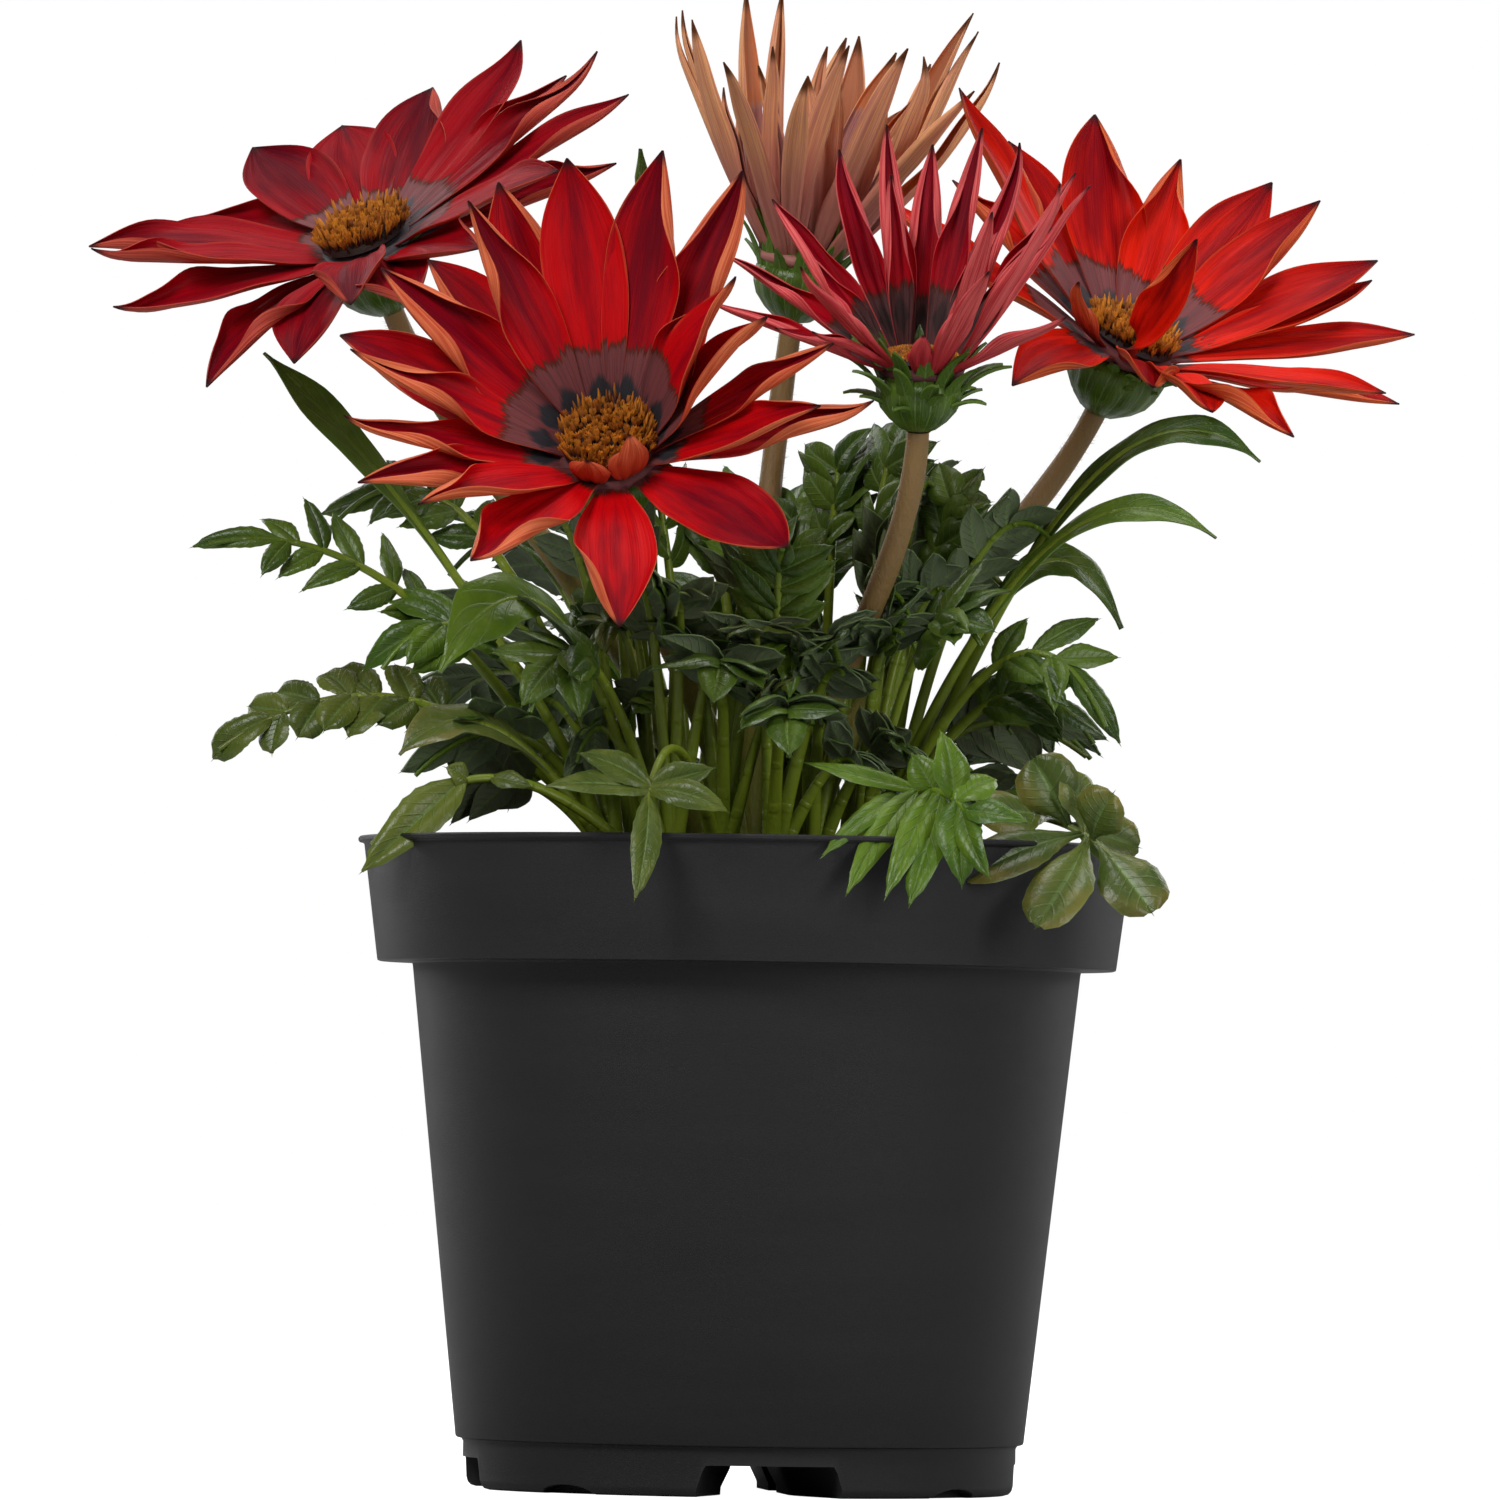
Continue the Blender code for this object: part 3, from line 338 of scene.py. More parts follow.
class Graph:
    """Short calls that add shader nodes to one tree and join them."""

    def __init__(self, tree: Tree) -> None:
        """Keeps the tree."""
        self.tree = tree

    def node(self, kind: str, inputs: dict[str | int, object] | None = None, **settings: object) -> Node:
        """Adds a node.

        Args:
            kind: The node's type.
            inputs: Values or sockets for its inputs.
            **settings: Its properties.

        Returns:
            The node.
        """
        made = self.tree.nodes.new(kind)
        for name, value in settings.items():
            setattr(made, name, value)
        for name, value in (inputs or {}).items():
            self.join(value, made.inputs[name])
        return made

    def join(self, value: object, socket: Socket) -> None:
        """Joins a value or a socket to an input, or sets the input's own value.

        Args:
            value: What the input takes; three numbers are a colour where the input is one.
            socket: The input.
        """
        if isinstance(value, Value):
            value = value.socket
        if isinstance(value, Socket):
            self.tree.links.new(value, socket)
        elif isinstance(value, tuple) and len(value) == 3 and socket.type == "RGBA":
            socket.default_value = (*value, 1.0)
        else:
            socket.default_value = value

    def give(self, target: Node, **values: object) -> None:
        """Joins values to a node's inputs, named with _ for each space."""
        for label, value in values.items():
            self.join(value, target.inputs[label.replace("_", " ")])

    def math(self, operation: str, *values: object, clamp: bool = False) -> Value:
        """Returns the result of a Math node."""
        made = self.node("ShaderNodeMath", dict(enumerate(values)), operation=operation, use_clamp=clamp)
        return Value(self, made.outputs[0])

    def step(self, value: object, low: object, high: object) -> Value:
        """Returns a smooth step of value from 0 at low to 1 at high."""
        inputs = {"Value": value, "From Min": low, "From Max": high}
        made = self.node("ShaderNodeMapRange", inputs, interpolation_type="SMOOTHSTEP")
        return Value(self, made.outputs[0])

    def mix(self, share: object, first: object, second: object) -> Value:
        """Returns first mixed with second by share, as colours."""
        inputs = {0: share, 6: first, 7: second}
        return Value(self, self.node("ShaderNodeMix", inputs, data_type="RGBA").outputs[2])

    def noise(self, vector: object, scale: object, detail: float = 2.0, rough: float = 0.5) -> Value:
        """Returns a noise value at the vector."""
        inputs = {"Vector": vector, "Scale": scale, "Detail": detail, "Roughness": rough}
        return Value(self, self.node("ShaderNodeTexNoise", inputs).outputs[0])

    def vector(self, x: object, y: object, z: object) -> Value:
        """Returns a vector made of three values."""
        return Value(self, self.node("ShaderNodeCombineXYZ", {0: x, 1: y, 2: z}).outputs[0])

    def split(self, vector: object) -> tuple[Value, ...]:
        """Returns the three values of a vector."""
        outputs = self.node("ShaderNodeSeparateXYZ", {0: vector}).outputs
        return tuple(Value(self, output) for output in outputs)

    def parts(self, name: str) -> tuple[Value, ...]:
        """Returns the three values of a mesh's vector attribute."""
        return self.split(self.node("ShaderNodeAttribute", attribute_name=name).outputs["Vector"])

    def place(self) -> Value:
        """Returns the point's place on the object, in metres."""
        return Value(self, self.node("ShaderNodeTexCoord").outputs["Object"])

    def bump(self, shader: Node, height: object, depth: float) -> None:
        """Joins a bump of this depth in metres to the shader's normal."""
        inputs = {"Height": height, "Distance": depth, "Strength": 1.0}
        self.give(shader, Normal=self.node("ShaderNodeBump", inputs).outputs[0])


def new_group(name: str, inputs: dict[str, object], outputs: dict[str, str]) -> tuple[Graph, dict, Node]:
    """Starts a shader node group with named sockets.

    Args:
        name: The group's name.
        inputs: Its inputs and their first values; a tuple is a colour.
        outputs: Its outputs and their socket types.

    Returns:
        Its graph, its inputs by name and its output node.
    """
    tree = bpy.data.node_groups.new(name, "ShaderNodeTree")
    for label, value in inputs.items():
        kind = "NodeSocketColor" if isinstance(value, tuple) else "NodeSocketFloat"
        socket = tree.interface.new_socket(label, in_out="INPUT", socket_type=kind)
        socket.default_value = (*value, 1.0) if isinstance(value, tuple) else value
    for label, kind in outputs.items():
        tree.interface.new_socket(label, in_out="OUTPUT", socket_type=kind)
    graph = Graph(tree)
    given = tree.nodes.new("NodeGroupInput")
    result = tree.nodes.new("NodeGroupOutput")
    return graph, {label: Value(graph, given.outputs[label]) for label in inputs}, result


SURFACE_OUTPUTS = {"Colour": "NodeSocketColor", "Roughness": "NodeSocketFloat", "Height": "NodeSocketFloat"}


def petal_group() -> Tree:
    """Makes the petal surface: ray colour, zoned base, striped reverse, dark tip and length veins.

    Returns:
        The node group.
    """
    inputs = {
        "Bright": (0.6, 0.01, 0.01), "Deep": (0.2, 0.003, 0.01), "Band": (0.15, 0.05, 0.05),
        "Rim": (0.05, 0.02, 0.01), "Patch": (0.05, 0.05, 0.06), "Reverse": (0.7, 0.15, 0.07),
        "Stripe": (0.35, 0.04, 0.03), "Tip": (0.03, 0.01, 0.01), "Band Reach": 21.0, "Patch Reach": 13.0,
        "Tip Start": 0.93, "Stripe Share": 0.6,
    }
    graph, given, result = new_group("petal_surface", inputs, SURFACE_OUTPUTS)
    reach, across, along = graph.parts("blade")
    tone, side, banding = graph.parts("mark")
    spread = abs(across)
    seed = tone * 57.0
    band_reach = given["Band Reach"] * banding
    streak = graph.noise(graph.vector(across * 1.6, along * 1.3, seed), 2.6, 3.0)
    vein = graph.noise(graph.vector(across * 14.0, along * 1.1, seed), 1.7, 2.0)
    jag = graph.noise(graph.vector(across * 6.0, seed, 0.0), 2.2, 2.0)
    shade = along * 0.55 + streak + tone * 0.35 + spread * -0.38
    face = graph.mix(graph.step(shade, 0.45, 1.30), given["Bright"], given["Deep"])
    face = graph.mix(graph.step(vein, 0.52, 0.72) * 0.35, face, given["Deep"])
    edge = reach + (jag - 0.5) * 5.0 + spread * -1.2
    outside = graph.step(edge, band_reach - 0.35, band_reach + 0.35)
    band = graph.mix(graph.step(vein, 0.4, 0.7) * 0.45, given["Band"], given["Patch"])
    dark = spread * 4.2 + abs(reach - given["Patch Reach"]) + streak * 2.4
    base = graph.mix(graph.step(dark, 3.6, 5.4), given["Patch"], band)
    face = graph.mix(outside, base, face)
    face = graph.mix(graph.step(abs(edge - band_reach), 0.9, 0.1) * 0.75, face, given["Rim"])
    stripes = graph.step(vein, 0.40, 0.60) + graph.step(streak, 0.45, 0.7) * 0.5
    stripes = graph.math("MULTIPLY", stripes, given["Stripe Share"], clamp=True)
    back = graph.mix(stripes, given["Reverse"], given["Stripe"])
    foot = graph.step(reach, given["Band Reach"] * 1.15, given["Band Reach"] * 0.55)
    back = graph.mix(foot, back, given["Stripe"])
    colour = graph.mix(side, face, back)
    margin = graph.step(spread, 0.93, 0.99) * graph.step(streak, 0.42, 0.62) * 0.24
    colour = graph.mix(margin * outside, colour, given["Reverse"])
    tip = graph.step(along, given["Tip Start"], given["Tip Start"] + 0.06)
    colour = graph.mix(tip, colour, given["Tip"])
    height = vein.scaled(0.7, streak * 0.3)
    graph.give(result, Colour=colour, Roughness=streak.scaled(0.16, 0.44), Height=height)
    return graph.tree


def leaf_group() -> Tree:
    """Makes the leaf surface: mottled green, pale midrib, side veins, felted underside and blotches.

    Returns:
        The node group.
    """
    inputs = {
        "Dark": (0.02, 0.05, 0.012), "Light": (0.06, 0.13, 0.03), "Rib": (0.16, 0.24, 0.07),
        "Under": (0.24, 0.27, 0.21), "Stalk": (0.12, 0.17, 0.03), "Blotch": (0.3, 0.14, 0.03),
        "Blotching": 0.0,
    }
    graph, given, result = new_group("leaf_surface", inputs, SURFACE_OUTPUTS)
    length, across, along = graph.parts("blade")
    tone, side, kind = graph.parts("mark")
    spread = abs(across)
    place = graph.place()
    mottle = graph.noise(place, 160.0, 3.0)
    fine = graph.noise(place, 1400.0, 2.0)
    green = graph.mix(graph.step(mottle * 1.1 + tone * 0.5, 0.45, 1.15), given["Dark"], given["Light"])
    wave = graph.math("SINE", (along * 8.0 - spread * 2.0) * math.tau)
    veins = graph.step(wave, 0.75, 1.0) * graph.step(spread, 1.0, 0.3)
    green = graph.mix(veins * 0.22, green, given["Rib"])
    rib = graph.step(spread, 0.13, 0.03) * graph.step(along, 1.0, 0.75)
    green = graph.mix(rib * 0.75, green, given["Rib"])
    worn = graph.step(spread * 0.35 + along * 0.3 + mottle * 0.8, 0.72, 1.05)
    green = graph.mix(worn * given["Blotching"], green, given["Blotch"])
    green = graph.mix(graph.step(spread, 0.93, 1.0) * 0.4, green, given["Rib"])
    felt = graph.mix(fine * 0.5, given["Under"], given["Light"])
    felt = graph.mix(rib * 0.7, felt, given["Rib"])
    leaf = graph.mix(side, green, felt)
    stalk = graph.mix(graph.step(length, 0.4, 1.0), given["Stalk"], given["Light"])
    stalk = graph.mix(mottle * 0.35, stalk, given["Dark"])
    rough = side.scaled(0.4, mottle.scaled(0.2, 0.24))
    height = veins.scaled(0.35, fine * 0.35) + mottle * 0.5
    graph.give(result, Colour=graph.mix(kind, leaf, stalk), Roughness=rough, Height=height)
    return graph.tree


def grain_group() -> Tree:
    """Makes a fine grain that pot, stem, floret and peat share: a soft cloud and a sharp speck.

    Returns:
        The node group.
    """
    inputs = {"Cloud Scale": 60.0, "Speck Scale": 900.0, "Stretch": 1.0}
    outputs = {"Cloud": "NodeSocketFloat", "Speck": "NodeSocketFloat"}
    graph, given, result = new_group("fine_grain", inputs, outputs)
    x, y, z = graph.split(graph.place())
    place = graph.vector(x, y, z * given["Stretch"])
    cloud = graph.noise(place, given["Cloud Scale"], 3.0)
    speck = graph.noise(place, given["Speck Scale"], 2.0, 0.6)
    graph.give(result, Cloud=cloud, Speck=speck)
    return graph.tree


class Finishes:
    """The shared node groups, and the materials that are made from them."""

    def __init__(self) -> None:
        """Builds the shared groups."""
        self.petal = petal_group()
        self.leaf = leaf_group()
        self.grain = grain_group()

    def start(self, name: str, **shader: object) -> tuple[Material, Graph, Node]:
        """Starts a material.

        Args:
            name: Its name.
            **shader: Values for the Principled shader's own sockets, by socket name.

        Returns:
            The material, its graph and its Principled shader.
        """
        made = bpy.data.materials.new(name)
        made.use_nodes = True
        graph = Graph(made.node_tree)
        principled = made.node_tree.nodes["Principled BSDF"]
        graph.give(principled, **shader)
        return made, graph, principled

    def surface(
        self, name: str, group: Tree, values: dict[str, object], bump: float, **shader: object,
    ) -> Material:
        """Makes a material from a surface group.

        Args:
            name: Its name.
            group: The group that gives colour, roughness and height.
            values: The group's own values for this material.
            bump: How deep the height reads, in metres.
            **shader: Values for the Principled shader's own sockets.

        Returns:
            The material.
        """
        made, graph, principled = self.start(name, **shader)
        outputs = graph.node("ShaderNodeGroup", values, node_tree=group).outputs
        graph.give(principled, Base_Color=outputs["Colour"], Roughness=outputs["Roughness"])
        graph.bump(principled, outputs["Height"], bump)
        return made


@dataclass(frozen=True)
class PetalFinish:
    """The colours of one bloom's petals, and how far out its base zones reach in millimetres."""

    name: str
    bright: Colour
    deep: Colour
    reverse: Colour
    stripe: Colour
    band: Colour = (0.175, 0.045, 0.046)
    rim: Colour = (0.050, 0.016, 0.008)
    patch: Colour = (0.026, 0.024, 0.028)
    tip: Colour = (0.045, 0.008, 0.010)
    band_reach: float = 22.0
    patch_reach: float = 13.0
    tip_start: float = 0.93
    stripe_share: float = 0.6

    def make(self, finishes: Finishes) -> Material:
        """Returns the material."""
        values = {
            "Bright": self.bright, "Deep": self.deep, "Band": self.band, "Rim": self.rim, "Patch": self.patch,
            "Reverse": self.reverse, "Stripe": self.stripe, "Tip": self.tip, "Band Reach": self.band_reach,
            "Patch Reach": self.patch_reach, "Tip Start": self.tip_start, "Stripe Share": self.stripe_share,
        }
        return finishes.surface(
            self.name, finishes.petal, values, 0.00022,
            Specular_IOR_Level=0.09, Subsurface_Weight=0.08, Subsurface_Scale=0.0008,
            Subsurface_Radius=(1.0, 0.2, 0.1),
        )


@dataclass(frozen=True)
class LeafFinish:
    """The greens of one kind of leaf."""

    name: str
    dark: Colour
    light: Colour
    rib: Colour = (0.150, 0.230, 0.070)
    under: Colour = (0.130, 0.160, 0.105)
    stalk: Colour = (0.215, 0.290, 0.020)
    blotch: Colour = (0.330, 0.150, 0.030)
    blotching: float = 0.0

    def make(self, finishes: Finishes) -> Material:
        """Returns the material."""
        values = {
            "Dark": self.dark, "Light": self.light, "Rib": self.rib, "Under": self.under, "Stalk": self.stalk,
            "Blotch": self.blotch, "Blotching": self.blotching,
        }
        return finishes.surface(
            self.name, finishes.leaf, values, 0.0003,
            Specular_IOR_Level=0.32, Coat_Weight=0.04, Coat_Roughness=0.25,
            Subsurface_Weight=0.08, Subsurface_Scale=0.001, Subsurface_Radius=(0.4, 1.0, 0.2),
        )


@dataclass(frozen=True)
class GrainFinish:
    """A finish over the shared fine grain. Each kind below gives its own colour.

    The two roughness values are how much the grain adds, and where it starts from.
    """

    name: str
    cloud_scale: float
    speck_scale: float
    stretch: float
    bump: float
    gloss: float
    rough: tuple[float, float]
    rough_grain: str = "Speck"

    def colour(self, graph: Graph, cloud: Value, speck: Value) -> Value:
        """Returns the colour over the surface, from the soft cloud and the sharp speck."""
        raise NotImplementedError

    def make(self, finishes: Finishes) -> Material:
        """Makes the material.

        Args:
            finishes: The shared groups.

        Returns:
            The material.
        """
        made, graph, shader = finishes.start(self.name, Specular_IOR_Level=self.gloss)
        scales = {"Cloud Scale": self.cloud_scale, "Speck Scale": self.speck_scale, "Stretch": self.stretch}
        outputs = graph.node("ShaderNodeGroup", scales, node_tree=finishes.grain).outputs
        grain = {label: Value(graph, outputs[label]) for label in ("Cloud", "Speck")}
        colour = self.colour(graph, grain["Cloud"], grain["Speck"])
        graph.give(shader, Base_Color=colour, Roughness=grain[self.rough_grain].scaled(*self.rough))
        graph.bump(shader, grain["Speck"], self.bump)
        return made


class PotPlastic(GrainFinish):
    """Black plastic, faintly clouded."""

    def colour(self, graph: Graph, cloud: Value, speck: Value) -> Value:
        """Returns a near black."""
        return graph.mix(cloud, (0.0155, 0.0152, 0.0163), (0.0250, 0.0245, 0.0262))


class CrumblyPeat(GrainFinish):
    """Brown peat, with loose crumbs of many tones."""

    def colour(self, graph: Graph, cloud: Value, speck: Value) -> Value:
        """Mixes the peat's brown with each crumb's own tone.

        Args:
            graph: The material's graph.
            cloud: The soft grain.
            speck: The sharp grain.

        Returns:
            The colour.
        """
        tone, _, kind = graph.parts("mark")
        soil = graph.mix(cloud, (0.008, 0.005, 0.003), (0.060, 0.034, 0.019))
        crumb = graph.mix(tone, (0.010, 0.006, 0.004), (0.110, 0.062, 0.032))
        return graph.mix(kind * 0.7, soil, crumb)


class FloretGold(GrainFinish):
    """Gold florets with painted shade: near black at the foot and on the dome, where the florets crowd
    together.
    """

    def colour(self, graph: Graph, cloud: Value, speck: Value) -> Value:
        """Shades each floret from its gold lobes down to a foot darkened with painted shade.

        Args:
            graph: The material's graph.
            cloud: The soft grain.
            speck: The sharp grain.

        Returns:
            The colour.
        """
        _, _, tall = graph.parts("blade")
        tone, _, kind = graph.parts("mark")
        gold = graph.mix(tone, (0.30, 0.080, 0.006), (0.66, 0.240, 0.016))
        gold = graph.mix(graph.step(cloud, 0.5, 0.7) * 0.4, gold, (0.16, 0.045, 0.010))
        # painted shade: each floret darkens towards its foot, deep among its neighbours
        rise = graph.step(tall + tone.scaled(0.3, -0.15), 0.35, 0.90)
        gold = graph.mix(rise, (0.035, 0.010, 0.005), gold)
        # painted shade: the dome's near black stands for the shade between the florets
        return graph.mix(kind, gold, (0.020, 0.008, 0.006))


class StemSkin(GrainFinish):
    """Green skin that turns brown towards the bloom, under pale hairs."""

    def colour(self, graph: Graph, cloud: Value, speck: Value) -> Value:
        """Shades the stem from green to brown, with specks.

        Args:
            graph: The material's graph.
            cloud: The soft grain.
            speck: The sharp grain.

        Returns:
            The colour.
        """
        _, _, rise = graph.parts("blade")
        _, _, hair = graph.parts("mark")
        brown = graph.step(rise + cloud.scaled(0.5, -0.25), 0.15, 0.75)
        skin = graph.mix(brown, (0.170, 0.190, 0.016), (0.240, 0.145, 0.050))
        skin = graph.mix(graph.step(speck, 0.5, 0.75) * 0.5, skin, (0.220, 0.140, 0.095))
        return graph.mix(hair, skin, (0.36, 0.28, 0.18))


class Cup(Enum):
    """How a bloom's green cup carries its bracts."""

    SMOOTH = "smooth"
    SPIKY = "spiky"
    TALL = "tall"


@dataclass(frozen=True)
class Petal:
    """One ray petal, in its bloom's frame: degrees, and millimetres from the axis to the tip."""

    turn: float
    lift: float
    length: float
    arch: float = 0.0
    curl: float = 30.0
    twist: float = 0.0
    width: float = 14.0


@dataclass(frozen=True)
class BloomPlan:
    """Where a bloom stands and faces, and what it is made of.

    Its tangle is how far its petals stray from their plan, in degrees.
    """

    name: str
    centre: tuple[float, float, float]
    facing: float
    rise: float
    size: float
    root: tuple[float, float]
    petals: tuple[Petal, ...]
    cupping: float
    finish: PetalFinish
    cup: Cup = Cup.SMOOTH
    tangle: float = 0.0
    rolled: float = 0.5
    roll_start: float = 0.45
    sway: float = 1.3
    slimness: float = 1.0
    inner_petals: int = 0
    disc_fill: float = 1.0
    seed: int = 1


FRONT_PETALS = (
    Petal(26, 52, 42, arch=-20, curl=40, twist=-60),
    Petal(42, 48, 30, arch=10, curl=60, width=11),
    Petal(62, 30, 53, arch=10, curl=35, twist=20),
    Petal(80, 35, 52, arch=10, curl=45, twist=-15),
    Petal(101, 34, 51, arch=5, curl=30),
    Petal(118, 28, 51, arch=10, curl=25, twist=10, width=16),
    Petal(130, 40, 49, arch=15, curl=60, twist=30, width=12),
    Petal(136, 17, 47, arch=10, curl=40),
    Petal(151, 27, 49, arch=10, curl=35, twist=15, width=15),
    Petal(165, 18, 49, arch=10, curl=40),
    Petal(179, 30, 48, arch=5, curl=60, twist=35, width=12),
    Petal(194, 24, 48, arch=5, curl=60, twist=30, width=11),
    Petal(210, 22, 47, arch=5, curl=45, twist=20),
    Petal(230, 28, 46, arch=-5, curl=60, twist=30, width=12),
    Petal(247, 18, 46, arch=-10, curl=40, twist=15),
    Petal(279, 0, 42, arch=-35, curl=20),
    Petal(256, 62, 17, arch=50, curl=70, width=8),
    Petal(302, 72, 20, arch=60, curl=60, width=8),
    Petal(322, 5, 44, arch=-20, curl=30, twist=-15, width=15),
    Petal(345, 30, 45, arch=5, curl=60, width=11),
    Petal(357, 16, 49, arch=0, curl=50, twist=-20, width=12),
    Petal(4, 32, 47, arch=0, curl=70, width=9),
    Petal(10, 46, 42, arch=-15, curl=45, twist=-60),
)

LEFT_PETALS = (
    Petal(3, 12, 46, arch=-10, curl=40),
    Petal(19, 3, 48, arch=0, curl=45),
    Petal(34, 9, 52, arch=-5, curl=60, width=12),
    Petal(50, 14, 51, arch=0, curl=50, width=12),
    Petal(66, 10, 46, arch=5, curl=40),
    Petal(82, 12, 49, arch=5, curl=45, width=13),
    Petal(106, 9, 44, arch=0, curl=25, width=17),
    Petal(128, 7, 42, arch=0, curl=35, width=16),
    Petal(150, 6, 45, arch=-10, curl=30, width=15),
    Petal(166, -4, 47, arch=-15, curl=30),
    Petal(190, 6, 46, arch=-5, curl=30, width=15),
    Petal(212, 18, 47, arch=-5, curl=35),
    Petal(231, 20, 48, arch=-5, curl=50, twist=20),
    Petal(245, 10, 48, arch=-5, curl=35, twist=10, width=17),
    Petal(263, -6, 44, arch=-25, curl=35),
    Petal(284, -10, 36, arch=-40, curl=60),
    Petal(302, 2, 32, arch=-50, curl=60),
    Petal(320, 0, 38, arch=-25, curl=40),
    Petal(340, 6, 38, arch=-15, curl=40),
)

RIGHT_PETALS = (
    Petal(7, 36, 48, arch=5, curl=45, twist=-15, width=12),
    Petal(24, 33, 47, arch=5, curl=45, width=12),
    Petal(47, 28, 46, arch=5, curl=50, width=12),
    Petal(67, 26, 50, arch=15, curl=25, width=17),
    Petal(92, 20, 44, arch=10, curl=40),
    Petal(112, 10, 42, arch=0, curl=45, width=12),
    Petal(128, 29, 54, arch=5, curl=30, width=15),
    Petal(141, 4, 51, arch=0, curl=45, width=12),
    Petal(163, 6, 38, arch=-10, curl=50, width=12),
    Petal(182, 30, 27, arch=35, curl=70, width=7),
    Petal(194, -12, 38, arch=-50, curl=55, width=12),
    Petal(224, 64, 36, arch=10, curl=50, twist=165, width=8),
    Petal(231, 4, 26, arch=-60, curl=45, width=12),
    Petal(252, 4, 32, arch=-45, curl=50, width=12),
    Petal(268, 6, 41, arch=-25, curl=40),
    Petal(290, 18, 48, arch=-5, curl=45, width=13),
    Petal(311, 11, 47, arch=-5, curl=50, width=12),
    Petal(330, 20, 50, arch=0, curl=45, width=12),
    Petal(339, 28, 46, arch=0, curl=60, width=9),
    Petal(347, 32, 49, arch=0, curl=45, width=12),
)

HALF_OPEN_PETALS = (
    Petal(0, 54, 44, arch=10, curl=75, width=10),
    Petal(22, 54, 44, arch=10, curl=80, width=10),
    Petal(44, 58, 45, arch=10, curl=85, width=10),
    Petal(66, 60, 46, arch=10, curl=85, width=10),
    Petal(86, 56, 44, arch=15, curl=50, width=12),
    Petal(103, 58, 46, arch=10, curl=80, width=10),
    Petal(118, 50, 44, arch=10, curl=80, width=10),
    Petal(135, 36, 42, arch=5, curl=50, width=12),
    Petal(153, 24, 39, arch=0, curl=50, width=12),
    Petal(173, 14, 37, arch=0, curl=60, width=11),
    Petal(194, 18, 28, arch=0, curl=70, width=10),
    Petal(215, 36, 35, arch=5, curl=85, width=9),
    Petal(262, 45, 16, arch=20, curl=60, width=7),
    Petal(288, 44, 36, arch=5, curl=90, width=9),
    Petal(300, 59, 39, arch=5, curl=90, width=9),
    Petal(311, 24, 36, arch=0, curl=70, width=10),
    Petal(332, 54, 44, arch=10, curl=85, width=10),
)

FADING_PETALS = (
    Petal(-29, 60, 54, arch=45, curl=80, width=9),
    Petal(-11, 56, 51, arch=55, curl=85, width=8),
    Petal(9, 52, 49, arch=60, curl=80, width=8),
    Petal(27, 44, 48, arch=60, curl=85, width=8),
    Petal(45, 52, 49, arch=60, curl=80, width=8),
    Petal(63, 50, 49, arch=60, curl=85, width=8),
    Petal(83, 64, 51, arch=45, curl=80, width=8),
    Petal(101, 56, 52, arch=50, curl=85, width=8),
    Petal(122, 48, 50, arch=50, curl=80, width=9),
    Petal(145, 46, 49, arch=50, curl=85, width=8),
    Petal(173, 51, 51, arch=40, curl=80, width=9),
    Petal(198, 42, 51, arch=20, curl=70, width=8),
    Petal(212, 60, 49, arch=45, curl=85, width=8),
    Petal(240, 58, 49, arch=45, curl=80, width=9),
    Petal(264, 50, 47, arch=55, curl=85, width=8),
    Petal(287, 55, 48, arch=50, curl=80, width=8),
    Petal(309, 57, 52, arch=45, curl=85, width=9),
)

RED = PetalFinish(
    "petal_red", (0.54, 0.001, 0.003), (0.150, 0.000, 0.007), (0.68, 0.175, 0.072), (0.40, 0.034, 0.012),
    band_reach=18.5, patch_reach=11.5,
)
CRIMSON = PetalFinish(
    "petal_crimson", (0.33, 0.001, 0.006), (0.090, 0.000, 0.006), (0.52, 0.085, 0.050), (0.25, 0.016, 0.016),
    band=(0.215, 0.072, 0.074), patch=(0.085, 0.072, 0.078), band_reach=16.5, patch_reach=10.0,
)
SCARLET = PetalFinish(
    "petal_scarlet", (0.72, 0.012, 0.002), (0.22, 0.001, 0.005), (0.64, 0.125, 0.036), (0.32, 0.016, 0.009),
    band=(0.205, 0.060, 0.062), patch=(0.055, 0.050, 0.056), band_reach=19.5, patch_reach=12.0,
)
ROSE = PetalFinish(
    "petal_rose", (0.42, 0.001, 0.008), (0.150, 0.000, 0.008), (0.70, 0.125, 0.120), (0.46, 0.030, 0.040),
    band=(0.095, 0.036, 0.036), patch=(0.040, 0.022, 0.022), band_reach=17.5, stripe_share=0.8,
)
TAN = PetalFinish(
    "petal_tan", (0.60, 0.175, 0.060), (0.44, 0.165, 0.085), (0.86, 0.430, 0.190), (0.520, 0.190, 0.150),
    band=(0.400, 0.165, 0.145), rim=(0.400, 0.200, 0.150), patch=(0.110, 0.048, 0.046),
    tip=(0.130, 0.040, 0.012), band_reach=31.0, tip_start=0.90, stripe_share=0.65,
)

